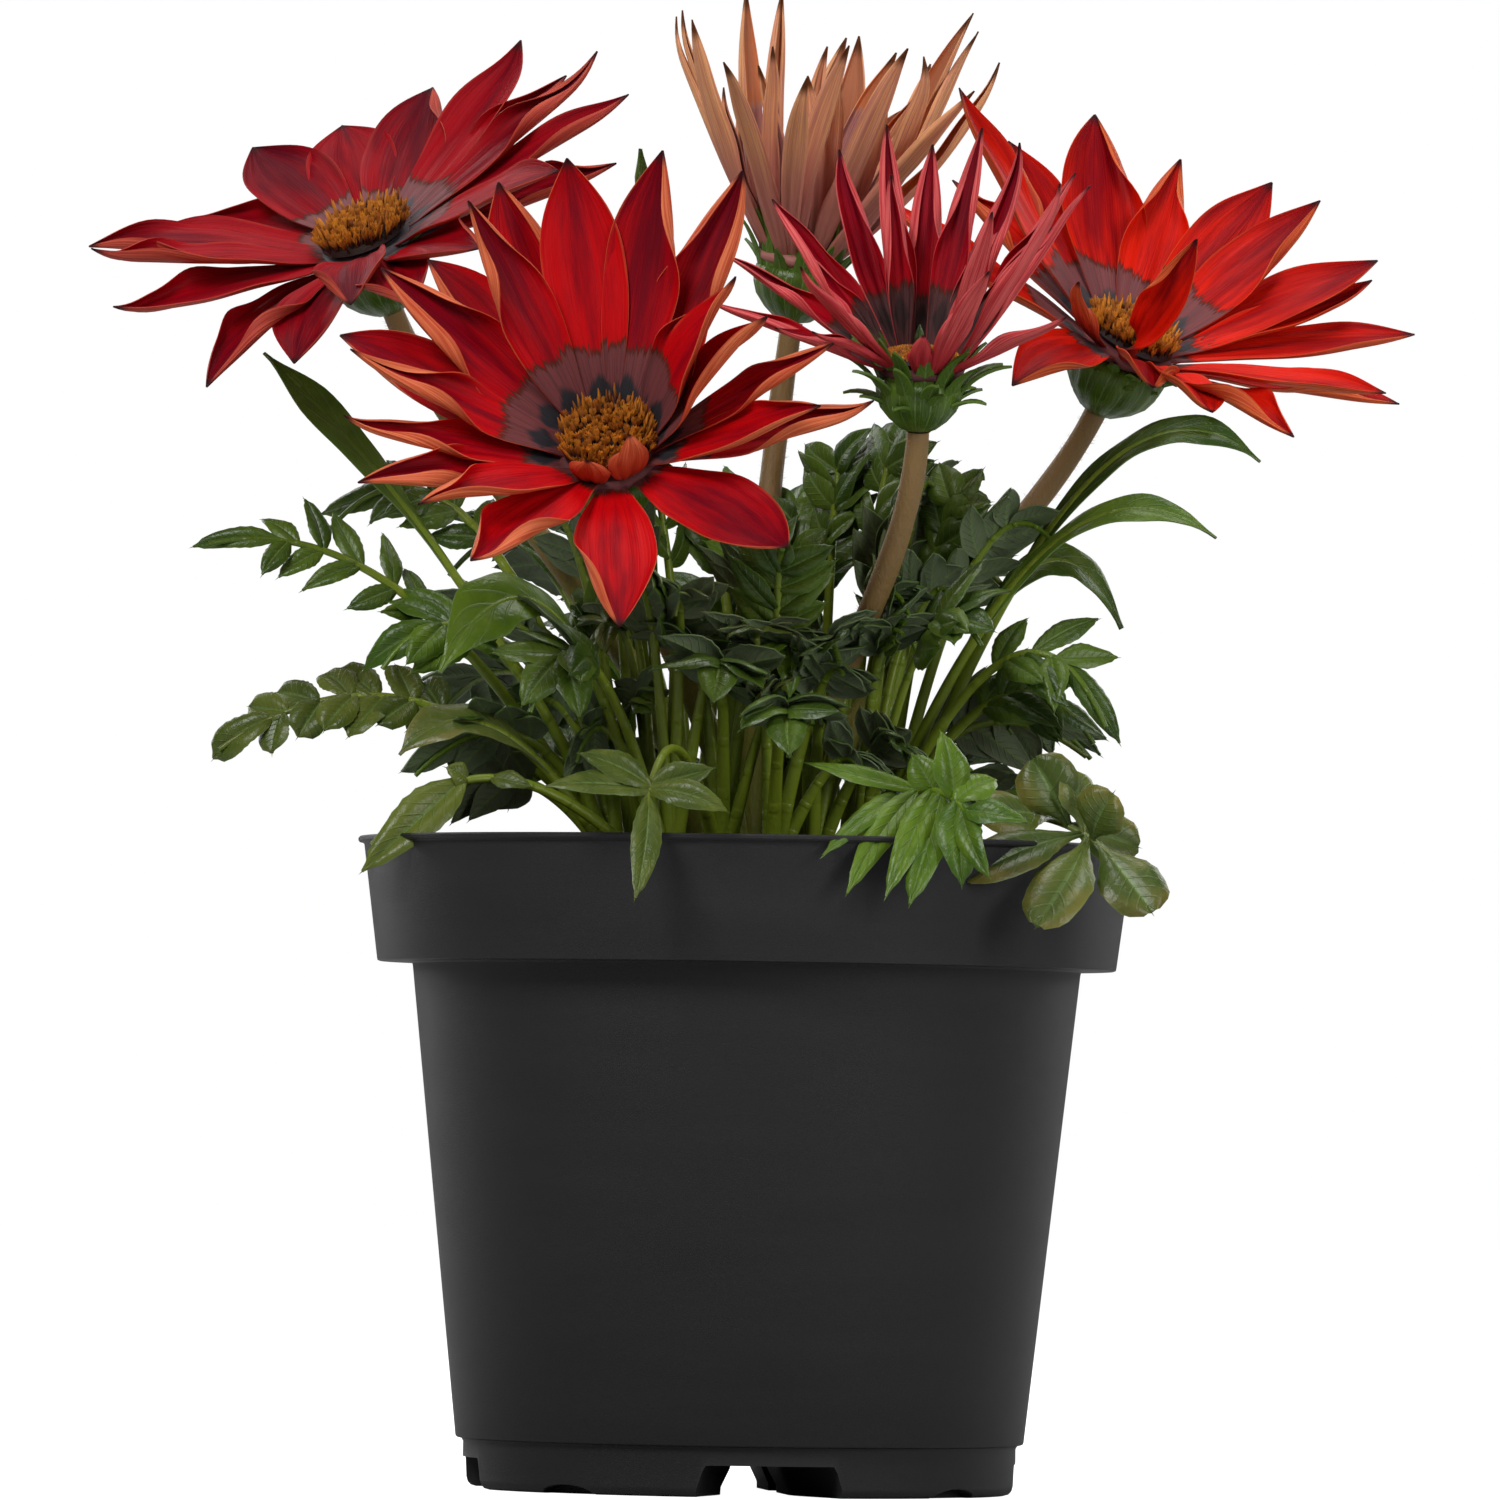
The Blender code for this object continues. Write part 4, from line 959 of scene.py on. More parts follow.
BLOOMS = (
    BloomPlan(
        "front_bloom", (-23.8, -46.0, 170.6), -8, 40, 1.0, (-2.0, -9.0), FRONT_PETALS, 4, RED,
        rolled=0.62, roll_start=0.38, seed=3,
    ),
    BloomPlan("left_bloom", (-65.4, 4.0, 207.2), -39, 57, 1.0, (-9.0, 1.0), LEFT_PETALS, 4, CRIMSON, seed=5),
    BloomPlan("right_bloom", (62.4, 12.0, 192.4), 48, 57, 1.0, (10.0, 2.0), RIGHT_PETALS, 6, SCARLET, seed=7),
    BloomPlan(
        "half_open_bloom", (27.0, -40.0, 185.6), 5, 75, 0.85, (7.0, -11.0), HALF_OPEN_PETALS, 4, ROSE,
        cup=Cup.SPIKY, tangle=2.5, rolled=0.95, roll_start=0.28, sway=2.2, slimness=0.72, inner_petals=6,
        disc_fill=0.25, seed=11,
    ),
    BloomPlan(
        "fading_bloom", (7.5, 34.0, 208.2), 40, 78, 0.9, (0.0, 10.0), FADING_PETALS, 7, TAN,
        cup=Cup.TALL, tangle=13.0, rolled=0.7, roll_start=0.06, sway=10.0, slimness=0.84, inner_petals=14,
        disc_fill=0.3, seed=13,
    ),
)


@dataclass
class Bloom:
    """One bloom: its ray petals, disc florets, green cup and hairy stem."""

    plan: BloomPlan
    petal_root: float = 6.6
    petal_half_thickness: float = 0.16
    petal_rows: int = 29
    petal_columns: int = 19
    floret_count: int = 230
    spike_count: int = 84
    stem_radius: float = 1.95
    stem_flare: float = 1.2
    hair_count: int = 900
    turn: Points = field(init=False)
    centre: Points = field(init=False)

    def __post_init__(self) -> None:
        """Works out the bloom's own axes: right, up its face, and along its axis."""
        facing, rise = math.radians(self.plan.facing), math.radians(self.plan.rise)
        level = math.cos(rise)
        axis = np.array((math.sin(facing) * level, -math.cos(facing) * level, math.sin(rise)))
        right = unit(np.cross((0.0, 0.0, 1.0), axis))
        self.turn = np.stack([right, np.cross(axis, right), axis])
        self.centre = np.array(self.plan.centre)

    def placed(self, points: Points) -> Points:
        """Returns points of the bloom's frame in the pot's frame."""
        return self.centre + points @ self.turn

    def petal_grid(self, petal: Petal, row: int, random: np.random.Generator) -> tuple[Points, Points]:
        """Lays out a petal's middle surface.

        Args:
            petal: The petal's plan.
            row: 0 for the upper ring, 1 for the lower.
            random: The bloom's own random draws.

        Returns:
            The grid of points, and the blade vector at each.
        """
        size = self.plan.size
        root = self.petal_root * size
        span = petal.length - root
        along = np.linspace(0.0, 1.0, self.petal_rows) ** 0.92
        along[-1] = 0.998
        fine = np.linspace(0.0, 1.0, 161)
        hook = random.uniform(-10.0, 34.0)
        lift = petal.lift + self.plan.cupping
        slope = np.radians(lift + petal.arch * (fine - 0.5) + hook * smooth(0.78, 1.0, fine))
        middle = (slope[1:] + slope[:-1]) / 2
        step = span / 160
        reach = np.interp(along, fine, root + np.concatenate([[0.0], np.cumsum(np.cos(middle))]) * step)
        height = np.interp(along, fine, np.concatenate([[0.0], np.cumsum(np.sin(middle))]) * step)
        height += (-0.2 - 0.8 * row) * size
        slope = np.interp(along, fine, slope)
        sway = random.uniform(-1.0, 1.0) * self.plan.sway * along ** 2
        spine = np.stack([reach, sway, height], axis=-1)
        forward = np.stack([np.cos(slope), np.zeros_like(slope), np.sin(slope)], axis=-1)
        upward = np.stack([-np.sin(slope), np.zeros_like(slope), np.cos(slope)], axis=-1)
        sideways = np.broadcast_to((0.0, 1.0, 0.0), forward.shape)
        spin = petal.twist * (smooth(0.0, 0.3, along) if abs(petal.twist) > 100 else along ** 2)
        upward = turn_about(forward, spin, upward)
        sideways = turn_about(forward, spin, sideways)
        half = self.half_width(petal.width * self.plan.slimness, along)
        across = np.linspace(-1.0, 1.0, self.petal_columns)
        out, rise = self.section(petal, along, across, random)
        grid = spine[:, None] + half[:, None, None] * (
            out[..., None] * sideways[:, None] + rise[..., None] * upward[:, None]
        )
        wave = 0.35 * np.sin(math.tau * (random.uniform(1.4, 2.4) * along[:, None] + random.random()))
        swell = np.sin(math.pi * along)[:, None]
        ripple = wave * across[None, :] ** 2 * swell
        folds = 0.17 * np.cos(math.pi * 4.0 * np.abs(across) ** 1.3)[None, :] * swell
        grid = grid + (ripple + folds)[..., None] * upward[:, None]
        return grid @ about_upright(petal.turn), blade_vectors(root + span * along, across, along)

    def half_width(self, width: float, along: Points) -> Points:
        """Returns half a petal's width: a narrow claw, widest past the middle, then a drawn-out point."""
        widest = 0.6
        swell = 0.28 + 0.72 * np.sin(math.pi / 2 * np.clip(along / widest, 0, 1)) ** 1.2
        past = np.clip((along - widest) / (1 - widest), 0, 1)
        return width / 2 * np.where(along < widest, swell, (1 - past ** 2.4) * (1 - 0.22 * past ** 2)) + 0.06

    def section(
        self, petal: Petal, along: Points, across: Points, random: np.random.Generator,
    ) -> tuple[Points, Points]:
        """Works out how a petal's cross-section curls up, and rolls in at its margins towards the tip.

        Args:
            petal: The petal's plan.
            along: Shares of the petal's length.
            across: Places across the blade, from 1 to -1.
            random: The bloom's own random draws.

        Returns:
            How far out and how far up each point lies, in half widths.
        """
        curl = np.radians(petal.curl) * (0.35 + 0.65 * along)
        strong = random.random(2) < self.plan.rolled
        rolls = np.radians(np.where(strong, random.uniform(110, 185, 2), random.uniform(-5, 45, 2)))
        starts = random.uniform(self.plan.roll_start - 0.1, self.plan.roll_start + 0.1, 2)
        steps = 24
        out = np.zeros((len(along), len(across)))
        rise = np.zeros_like(out)
        onset = [smooth(start, start + 0.42, along)[:, None] for start in starts]
        roll = np.where(across[None, :] > 0, rolls[0] * onset[0], rolls[1] * onset[1])
        for index in range(steps):
            share = np.abs(across)[None, :] * (index + 0.5) / steps
            tilt = curl[:, None] * share ** 2 + roll * smooth(0.42, 0.88, share)
            out += np.cos(tilt) * across[None, :] / steps
            rise += np.sin(tilt) * np.abs(across)[None, :] / steps
        return out, rise

    def build_petals(self) -> Solids:
        """Returns the ray petals, round the core that bears them."""
        random = np.random.default_rng(self.plan.seed)
        solids = Solids()
        size = self.plan.size
        core = ((0.0, -1.7), (7.6, -1.7), (8.4, -1.0), (8.4, -0.1), (7.6, 0.5), (0.0, 0.5))
        self.add_turned(solids, core, 48, reach=8.0, kind=1.0)
        petals = self.plan.petals
        rows = []
        stray = self.plan.tangle
        for index, petal in enumerate(petals):
            beside = petals[index - 1].lift + petals[(index + 1) % len(petals)].lift
            strayed = replace(
                petal, turn=petal.turn + random.uniform(-1, 1) * stray,
                lift=petal.lift + random.uniform(-0.5, 0.5) * stray,
                arch=petal.arch * (1 - stray / 20) + random.uniform(-1, 1) * stray,
            )
            rows.append((strayed, 0 if 2 * petal.lift > beside else 1))
        for index in range(self.plan.inner_petals):
            near = petals[(index * 5 + 2) % len(petals)]
            inner = replace(
                near, turn=near.turn + random.uniform(7, 12) + random.uniform(-2, 2) * stray,
                lift=min(near.lift + random.uniform(-4, 14), 74), width=near.width * 0.85,
                length=near.length * random.uniform(0.8 - stray * 0.02, 0.94),
                arch=near.arch * (1 - stray / 16) + random.uniform(-25, 12) + random.uniform(-3, 3) * stray,
            )
            rows.append((inner, 0))
        for petal, row in rows:
            grid, blade = self.petal_grid(petal, row, random)
            edge = np.sqrt(np.clip(1.0 - blade[..., 1] ** 2, 0, 1))
            half = self.petal_half_thickness * (0.45 + 0.55 * edge) * (1.35 - 0.35 * blade[..., 2]) * size
            nearness = math.sin(math.radians(petal.turn))
            banding = 0.5 + 0.5 * float(smooth(-0.6, 0.1, np.array(nearness)))
            solids.sheet(self.placed(grid), half, blade, random.random(), banding)
        return solids

    def add_turned(
        self, solids: Solids, profile: tuple, steps: int, reach: float = 0.0, kind: float = 0.0,
    ) -> None:
        """Adds a solid of revolution about the bloom's axis.

        Args:
            solids: Where it is added.
            profile: Radius and height of each ring, for a bloom of size 1.
            steps: How many steps a ring has.
            reach: The first value of its blade vector.
            kind: The kind that its mark vector holds.
        """
        rings = [circle(radius, height, steps) * self.plan.size for radius, height in profile]
        blade = np.zeros((len(rings), steps, 3))
        blade[..., 0] = reach
        blade[..., 2] = np.linspace(0, 1, len(rings))[:, None]
        solids.turned(self.placed(np.array(rings)), blade, 0.5, kind)

    def build_disc(self) -> Solids:
        """Returns the disc: florets set by the golden angle on a dome painted near black as shade, taller
        towards the rim.
        """
        random = np.random.default_rng(self.plan.seed + 100)
        solids = Solids()
        size = self.plan.size
        dome = ((0.0, 0.9), (6.6, 0.9), (7.4, 1.5), (7.0, 2.3), (5.0, 3.0), (2.5, 3.4), (0.0, 3.5))
        self.add_turned(solids, dome, 40, kind=1.0)
        full = self.plan.disc_fill
        upright = np.array((0, 0.35, 1.0))
        for index in range(self.floret_count):
            share = math.sqrt((index + 0.5) / self.floret_count)
            angle = index * math.pi * (3 - math.sqrt(5))
            outward = level_way(angle)
            radius = 7.0 * share
            ground = 3.4 - 1.6 * share ** 2
            lean = 0.55 * share ** 2 + random.uniform(-0.08, 0.08)
            tall = 0.9 + 1.1 * float(smooth(0.5, 0.9, np.array(share))) + random.uniform(-0.5, 1.1)
            axis = unit(upright + outward * lean + random.normal(0, 0.10, 3))
            start = outward * radius + np.array((0, 0, ground - 0.6))
            stout = 0.22 + 0.10 * random.random()
            self.add_floret(solids, start, axis, full * tall + 0.6, stout, random.random())
        for index in range(self.spike_count):
            angle = index * math.tau / self.spike_count + random.uniform(-0.05, 0.05)
            outward = level_way(angle)
            start = outward * random.uniform(5.6, 6.9) + np.array((0, 0, 1.8))
            aim = unit(upright + outward * random.uniform(0.15, 0.6) + random.normal(0, 0.09, 3))
            tall = random.uniform(2.8, 5.2) * full
            path = start + np.linspace(0, 1, 6)[:, None] * aim * tall
            path[4:] += np.cross(aim, outward) * random.uniform(-0.3, 0.3)
            width = np.array((0.18, 0.20, 0.24, 0.30, 0.22, 0.06))
            solids.tube(self.placed(path * size), width, width, 6, random.random(), 0.0)
        return solids

    def add_floret(
        self, solids: Solids, start: Points, axis: Points, tall: float, radius: float, tone: float,
    ) -> None:
        """Adds one tubular floret with five pointed lobes.

        Args:
            solids: Where it is added.
            start: Its foot, for a bloom of size 1.
            axis: Its direction.
            tall: Its height.
            radius: The radius of its tube.
            tone: Its random tone.
        """
        side = unit(np.cross(axis, (0.2, 0.9, 0.1)))
        up = np.cross(axis, side)
        steps = 10
        angle = np.arange(steps) * math.tau / steps
        lobes = np.arange(steps) % 2
        rings = []
        for share, wide in ((0, 0), (0.0, 0.7), (0.6, 0.8), (0.85, 1.2), (1.0, 1.0), (0.9, 0.5), (0.9, 0)):
            flare = wide * (1 + (0.8 * lobes if share > 0.8 else 0.0) * np.ones(steps))
            rise = share * tall + (1.1 * radius * lobes if share == 1.0 else 0.0) * np.ones(steps)
            ring = start + side * (np.cos(angle) * flare * radius)[:, None]
            ring = ring + up * (np.sin(angle) * flare * radius)[:, None] + axis * rise[:, None]
            rings.append(ring * self.plan.size)
        blade = np.zeros((len(rings), steps, 3))
        blade[..., 2] = np.array((0, 0, 0.6, 0.85, 1.0, 0.8, 0.7))[:, None]
        solids.turned(self.placed(np.array(rings)), blade, tone)

    def build_cup(self) -> Solids:
        """Returns the green cup: ribbed, with rows of pointed bracts."""
        random = np.random.default_rng(self.plan.seed + 200)
        solids = Solids()
        size = self.plan.size
        profile = (
            (0, -12.5), (2.3, -12.5), (3.4, -12.2), (5.6, -10.4), (7.4, -8.2), (8.2, -6.0), (8.4, -4.2),
            (8.1, -2.7), (7.2, -2.05), (0, -2.0),
        )
        steps = 64
        angle = np.arange(steps) * math.tau / steps
        rings = []
        for radius, height in profile:
            rib = 1 + 0.022 * np.cos(16 * angle) * (radius > 3)
            rings.append(circle(radius * rib, height, steps) * size)
        blade = np.zeros((len(rings), steps, 3))
        blade[..., 1] = (((np.arange(steps) / 4) % 1) * 2 - 1)[None, :]
        blade[..., 2] = np.linspace(0, 0.9, len(rings))[:, None]
        solids.turned(self.placed(np.array(rings)), blade, 0.4)
        for row, count, length, start, spread in self.bract_rows():
            for index in range(count):
                turn = 360.0 * (index + 0.5 * (row % 2)) / count + random.uniform(-6, 6)
                reach = length * random.uniform(0.8, 1.15)
                lean = spread + random.uniform(-14, 14)
                self.add_bract(solids, turn, start, reach, lean, random.random())
        return solids

    def bract_rows(self) -> tuple[tuple[int, int, float, float, float], ...]:
        """Returns the rows of bracts: row, count, length, height of the root and lean from the axis."""
        if self.plan.cup is Cup.SPIKY:
            return ((0, 9, 9.5, -9.5, 66.0), (1, 11, 12.0, -6.5, 50.0), (2, 12, 12.5, -3.8, 34.0))
        if self.plan.cup is Cup.TALL:
            return ((0, 11, 12.0, -7.5, 26.0), (1, 13, 14.0, -5.4, 18.0), (0, 15, 15.0, -3.6, 8.0))
        return ((0, 9, 4.2, -6.2, 40.0), (1, 13, 5.2, -3.6, 58.0))

    def add_bract(
        self, solids: Solids, turn: float, start: float, length: float, lean: float, tone: float,
    ) -> None:
        """Adds one pointed bract.

        Args:
            solids: Where it is added.
            turn: Its place round the axis in degrees.
            start: The height of its root.
            length: Its length.
            lean: How far it leans out from the axis, in degrees.
            tone: Its random tone.
        """
        rows, columns = 9, 5
        along = np.linspace(0, 0.995, rows)
        across = np.linspace(-1, 1, columns)
        radius = 8.0 if start > -7 else 6.3
        slope = np.radians(90 - lean * (0.4 + 0.9 * along))
        step = length / (rows - 1)
        reach = radius - 0.9 + np.concatenate([[0], np.cumsum(np.cos(slope[1:]))]) * step
        height = start + np.concatenate([[0], np.cumsum(np.sin(slope[1:]))]) * step
        broad = 1.25 if self.plan.cup is Cup.SMOOTH else 1.9
        half = broad * (1 - along) ** 0.75 * (1 + 0.5 * along) + 0.05
        fold = 0.25 * np.abs(across)[None, :] * half[:, None]
        grid = np.empty((rows, columns, 3))
        grid[..., 0] = reach[:, None] - fold * np.sin(slope)[:, None]
        grid[..., 1] = across[None, :] * half[:, None]
        grid[..., 2] = height[:, None] + fold * np.cos(slope)[:, None]
        blade = blade_vectors(0.6, across, along)
        half_thick = np.full((rows, columns), 0.22)
        solids.sheet(self.placed((grid @ about_upright(turn)) * self.plan.size), half_thick, blade, tone)

    def stem_path(self, count: int) -> Points:
        """Returns points along the stem, from its hole to the cup."""
        size = self.plan.size
        root = np.array((*self.plan.root, 0.0))
        foot = root + (0, 0, SOIL_TOP - 5.7)
        leave = root + (0, 0, SOIL_TOP + 4.0)
        axis = self.turn[2]
        top = self.centre - axis * (12.5 * size + 0.3)
        reach = np.linalg.norm(top - leave) / 3
        share = np.linspace(0, 1, count)[:, None]
        rest = 1 - share
        upward = leave + np.array((0, 0, reach))
        inward = top - axis * reach
        curve = (
            rest ** 3 * leave + 3 * rest ** 2 * share * upward
            + 3 * rest * share ** 2 * inward + share ** 3 * top
        )
        return np.concatenate([foot[None, :], curve])

    def build_stem(self) -> Solids:
        """Returns the stem: ribbed faintly, and covered in short pale hairs."""
        random = np.random.default_rng(self.plan.seed + 300)
        solids = Solids()
        path = self.stem_path(70)
        share = np.linspace(0, 1, len(path))
        radius = self.stem_radius * (self.stem_flare - (self.stem_flare - 1) * share)
        radius = radius * (1 + 0.025 * np.sin(share * 31 + self.plan.seed)) * 0.97
        solids.tube(path, radius, radius, 20, 0.5)
        pick = random.uniform(4, len(path) - 2, self.hair_count)
        low = pick.astype(int)
        part = (pick - low)[:, None]
        centre = path[low] * (1 - part) + path[low + 1] * part
        along = unit(path[low + 1] - path[low])
        side = unit(np.cross(along, random.normal(0, 1, (self.hair_count, 3))))
        thick = radius[low][:, None]
        roots = centre + side * (thick - 0.08)
        aim = unit(side + along * random.uniform(0.0, 0.7, (self.hair_count, 1)))
        tips = roots + aim * random.uniform(0.35, 0.95, (self.hair_count, 1))
        solids.spikes(roots, tips, 0.035, 1.0)
        return solids

    def dress(self, coats: dict[str, Material]) -> None:
        """Builds and dresses every piece of the bloom.

        Args:
            coats: The materials by name.
        """
        name = self.plan.name
        pieces = (
            ("petals", "rays", self.build_petals, self.plan.finish.name, self.plan.finish.name, 60.0),
            ("disc", "florets", self.build_disc, "florets", "disc_florets", 40.0),
            ("calyx", "cup", self.build_cup, "cup_green", "calyx", 50.0),
            ("stem", "scape", self.build_stem, "stem_skin", "stem", 60.0),
        )
        for node, label, build, coat, slot, angle in pieces:
            made = build().made(f"{name}_{label}", coats[coat], angle)
            stand_in(made, [f"{name}_{node}"])


def stand_in(piece: bpy.types.Object, nodes: list[str]) -> None:
    """Rides a piece on the plant's body, in place of its nodes.

    Args:
        piece: The finished piece.
        nodes: The nodes that it replaces.
    """
    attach(piece, BODY)
    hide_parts(*nodes)
    LOG.info("%s: %d faces", piece.name, len(piece.data.polygons))


class Lobe(Enum):
    """The outline of a leaflet."""

    LANCE = "lance"
    SPOON = "spoon"
    ROUND = "round"


class Green(Enum):
    """The kinds of leaf surface, by the name of their finish."""

    DARK = "leaf_dark"
    FRESH = "leaf_fresh"
    OLIVE = "leaf_olive"
    BLOTCHED = "leaf_blotched"


@dataclass(frozen=True)
class Leaf:
    """One leaf: plan azimuth of its tip from +X, then millimetres from the axis and the soil.

    Its detail counts the steps along a leaflet. Its blades place leaflets one by one, each by
    its share of the rib, its tip's place and how wide it is.
    """

    azimuth: float
    reach: float
    tip: float
    arch: float
    lean: float = 0.5
    pairs: int = 3
    leaflet: float = 15.0
    width: float = 3.4
    roll: float | None = None
    lobe: Lobe = Lobe.LANCE
    green: Green = Green.DARK
    stalk: float = 0.42
    terminal: float = 0.3
    detail: int = 16
    blades: tuple[tuple[float, float, float, float, float], ...] = ()


@dataclass(frozen=True)
class TuftPlan:
    """Leaves that grow from one shoot, and where that shoot stands in the soil.

    Tall counts the further leaves that stand high in it.
    """

    azimuth: float
    radius: float
    leaves: tuple[Leaf, ...]
    tall: int = 0


RIM_BLADE = (
    (0.60, -63.5, -31.5, 101.5, 1.0), (0.58, -50.0, -24.5, 119.0, 0.55), (0.50, -36.0, -24.0, 116.0, 0.5),
)
FIVE_FINGERS = (
    (0.74, -27.5, -66.0, 120.5, 1.0), (0.75, -33.0, -68.0, 115.0, 1.05), (0.77, -18.2, -76.0, 97.0, 0.95),
    (0.75, -3.6, -69.0, 111.5, 1.0), (0.73, -6.0, -64.0, 118.5, 1.0),
)
HANGING_LOBES = (
    (0.50, 12.0, -65.5, 104.5, 0.75), (0.56, 16.0, -66.5, 98.5, 0.9), (0.66, 22.3, -67.5, 98.0, 0.9),
    (0.72, 26.2, -69.0, 96.8, 1.15), (0.84, 34.6, -66.5, 100.2, 1.3), (0.88, 39.0, -69.5, 101.5, 0.85),
    (0.92, 45.0, -66.0, 110.5, 1.0), (0.80, 31.0, -58.0, 125.0, 1.15), (0.66, 26.5, -52.0, 121.5, 1.0),
    (0.84, 40.0, -56.0, 117.5, 1.4), (0.55, 9.0, -48.0, 120.0, 0.9),
)
ROSETTE = (
    (0.80, 35.5, -52.0, 101.0, 1.0), (0.82, 47.0, -56.0, 93.8, 1.05), (0.86, 66.0, -47.0, 96.5, 1.2),
    (0.84, 59.5, -44.0, 116.0, 1.0), (0.74, 46.5, -38.0, 121.5, 1.1), (0.80, 53.0, -36.0, 119.5, 0.95),
    (0.68, 37.5, -44.0, 111.5, 1.0), (0.72, 64.0, -33.0, 107.5, 0.95),
)

TUFTS = (
    TuftPlan(172, 19, (
        Leaf(174, 83, 90, 62, lean=0.5, pairs=0, width=2.9, stalk=0.6),
        Leaf(166, 77, 56, 96, lean=0.55, leaflet=12, width=2.6),
        Leaf(
            180, 90, 22, 50, lean=0.5, pairs=5, leaflet=9.5, width=2.9, lobe=Lobe.ROUND, green=Green.OLIVE,
            terminal=0.14,
        ),
    )),
    TuftPlan(194, 22, (
        Leaf(188, 94, 56, 68, lean=0.5, pairs=4, leaflet=11, width=2.1, terminal=0.2),
        Leaf(199, 67, 32, 66, lean=0.6, pairs=2, leaflet=14, width=3.1, green=Green.FRESH),
        Leaf(201, 62, 22, 40, lean=0.6, pairs=0, width=4.2, green=Green.BLOTCHED),
    )),
    TuftPlan(212, 18, (
        Leaf(217, 64, 35, 72, lean=0.5, pairs=0, width=5.5, green=Green.FRESH),
        Leaf(206, 72, 3, 34, lean=0.6, pairs=1, leaflet=11, width=4.2, green=Green.OLIVE, blades=RIM_BLADE),
    )),
    TuftPlan(234, 22, (
        Leaf(228, 56, 24, 62, lean=0.6),
        Leaf(238, 40, 46, 66, lean=0.5, pairs=3, leaflet=13),
    )),
    TuftPlan(256, 18, (
        Leaf(256, 77, -3, 46, lean=0.7, width=2.7, green=Green.OLIVE, blades=FIVE_FINGERS),
        Leaf(262, 44, 28, 56, lean=0.5, pairs=3, leaflet=13),
    )),
    TuftPlan(280, 22, (
        Leaf(277, 54, 18, 48, lean=0.6, pairs=3, leaflet=13),
        Leaf(278, 36, 56, 62, lean=0.4, leaflet=12, width=2.4, roll=150),
    )),
    TuftPlan(304, 19, (
        Leaf(299, 75, 11, 26, lean=0.72, width=2.9, green=Green.FRESH, blades=HANGING_LOBES),
        Leaf(292, 40, 36, 54, lean=0.5, leaflet=11),
    )),
    TuftPlan(326, 22, (
        Leaf(325, 76, 4, 24, lean=0.6, width=4.2, lobe=Lobe.SPOON, green=Green.BLOTCHED, blades=ROSETTE),
        Leaf(322, 50, 38, 64, lean=0.5, leaflet=14),
    )),
    TuftPlan(347, 19, (
        Leaf(341, 64, 24, 66, lean=0.65, pairs=2, leaflet=14, width=2.6, terminal=0.26),
        Leaf(352, 60, 22, 54, lean=0.6, pairs=3, leaflet=12, width=2.6),
        Leaf(346, 79, 60, 82, lean=0.5, pairs=0, width=2.8, green=Green.FRESH),
    )),
    TuftPlan(8, 22, (
        Leaf(-9, 85, 73, 98, lean=0.55, pairs=0, width=3.1),
        Leaf(14, 64, 46, 82, lean=0.6, pairs=0, width=3.4),
        Leaf(2, 40, 70, 76, lean=0.4, pairs=3, leaflet=12),
    ), tall=2),
    TuftPlan(32, 19, (
        Leaf(24, 65, 22, 48, lean=0.55, leaflet=12, width=2.3, terminal=0.24),
        Leaf(38, 56, 46, 76, lean=0.5, leaflet=12, width=2.6),
        Leaf(33, 42, 72, 76, lean=0.4, pairs=3, leaflet=13),
    ), tall=2),
    TuftPlan(58, 22, (
        Leaf(54, 82, 4, 46, lean=0.6),
        Leaf(62, 62, 36, 70, lean=0.5),
    ), tall=3),
    TuftPlan(86, 19, (
        Leaf(84, 74, 20, 60, lean=0.55, leaflet=13),
        Leaf(78, 54, 52, 78, lean=0.5),
        Leaf(104, 40, 60, 82, lean=0.45, leaflet=12, roll=25),
        Leaf(52, 35, 72, 90, lean=0.4, leaflet=12, roll=-35),
    ), tall=3),
    TuftPlan(114, 22, (
        Leaf(110, 82, 6, 46, lean=0.6),
        Leaf(118, 60, 40, 72, lean=0.5),
    ), tall=1),
    TuftPlan(142, 19, (
        Leaf(138, 78, 22, 62, lean=0.55),
        Leaf(145, 66, 50, 84, lean=0.5),
        Leaf(122, 38, 127, 70, lean=0.7, pairs=0, width=2.2, roll=0, stalk=0.86),
    )),
)


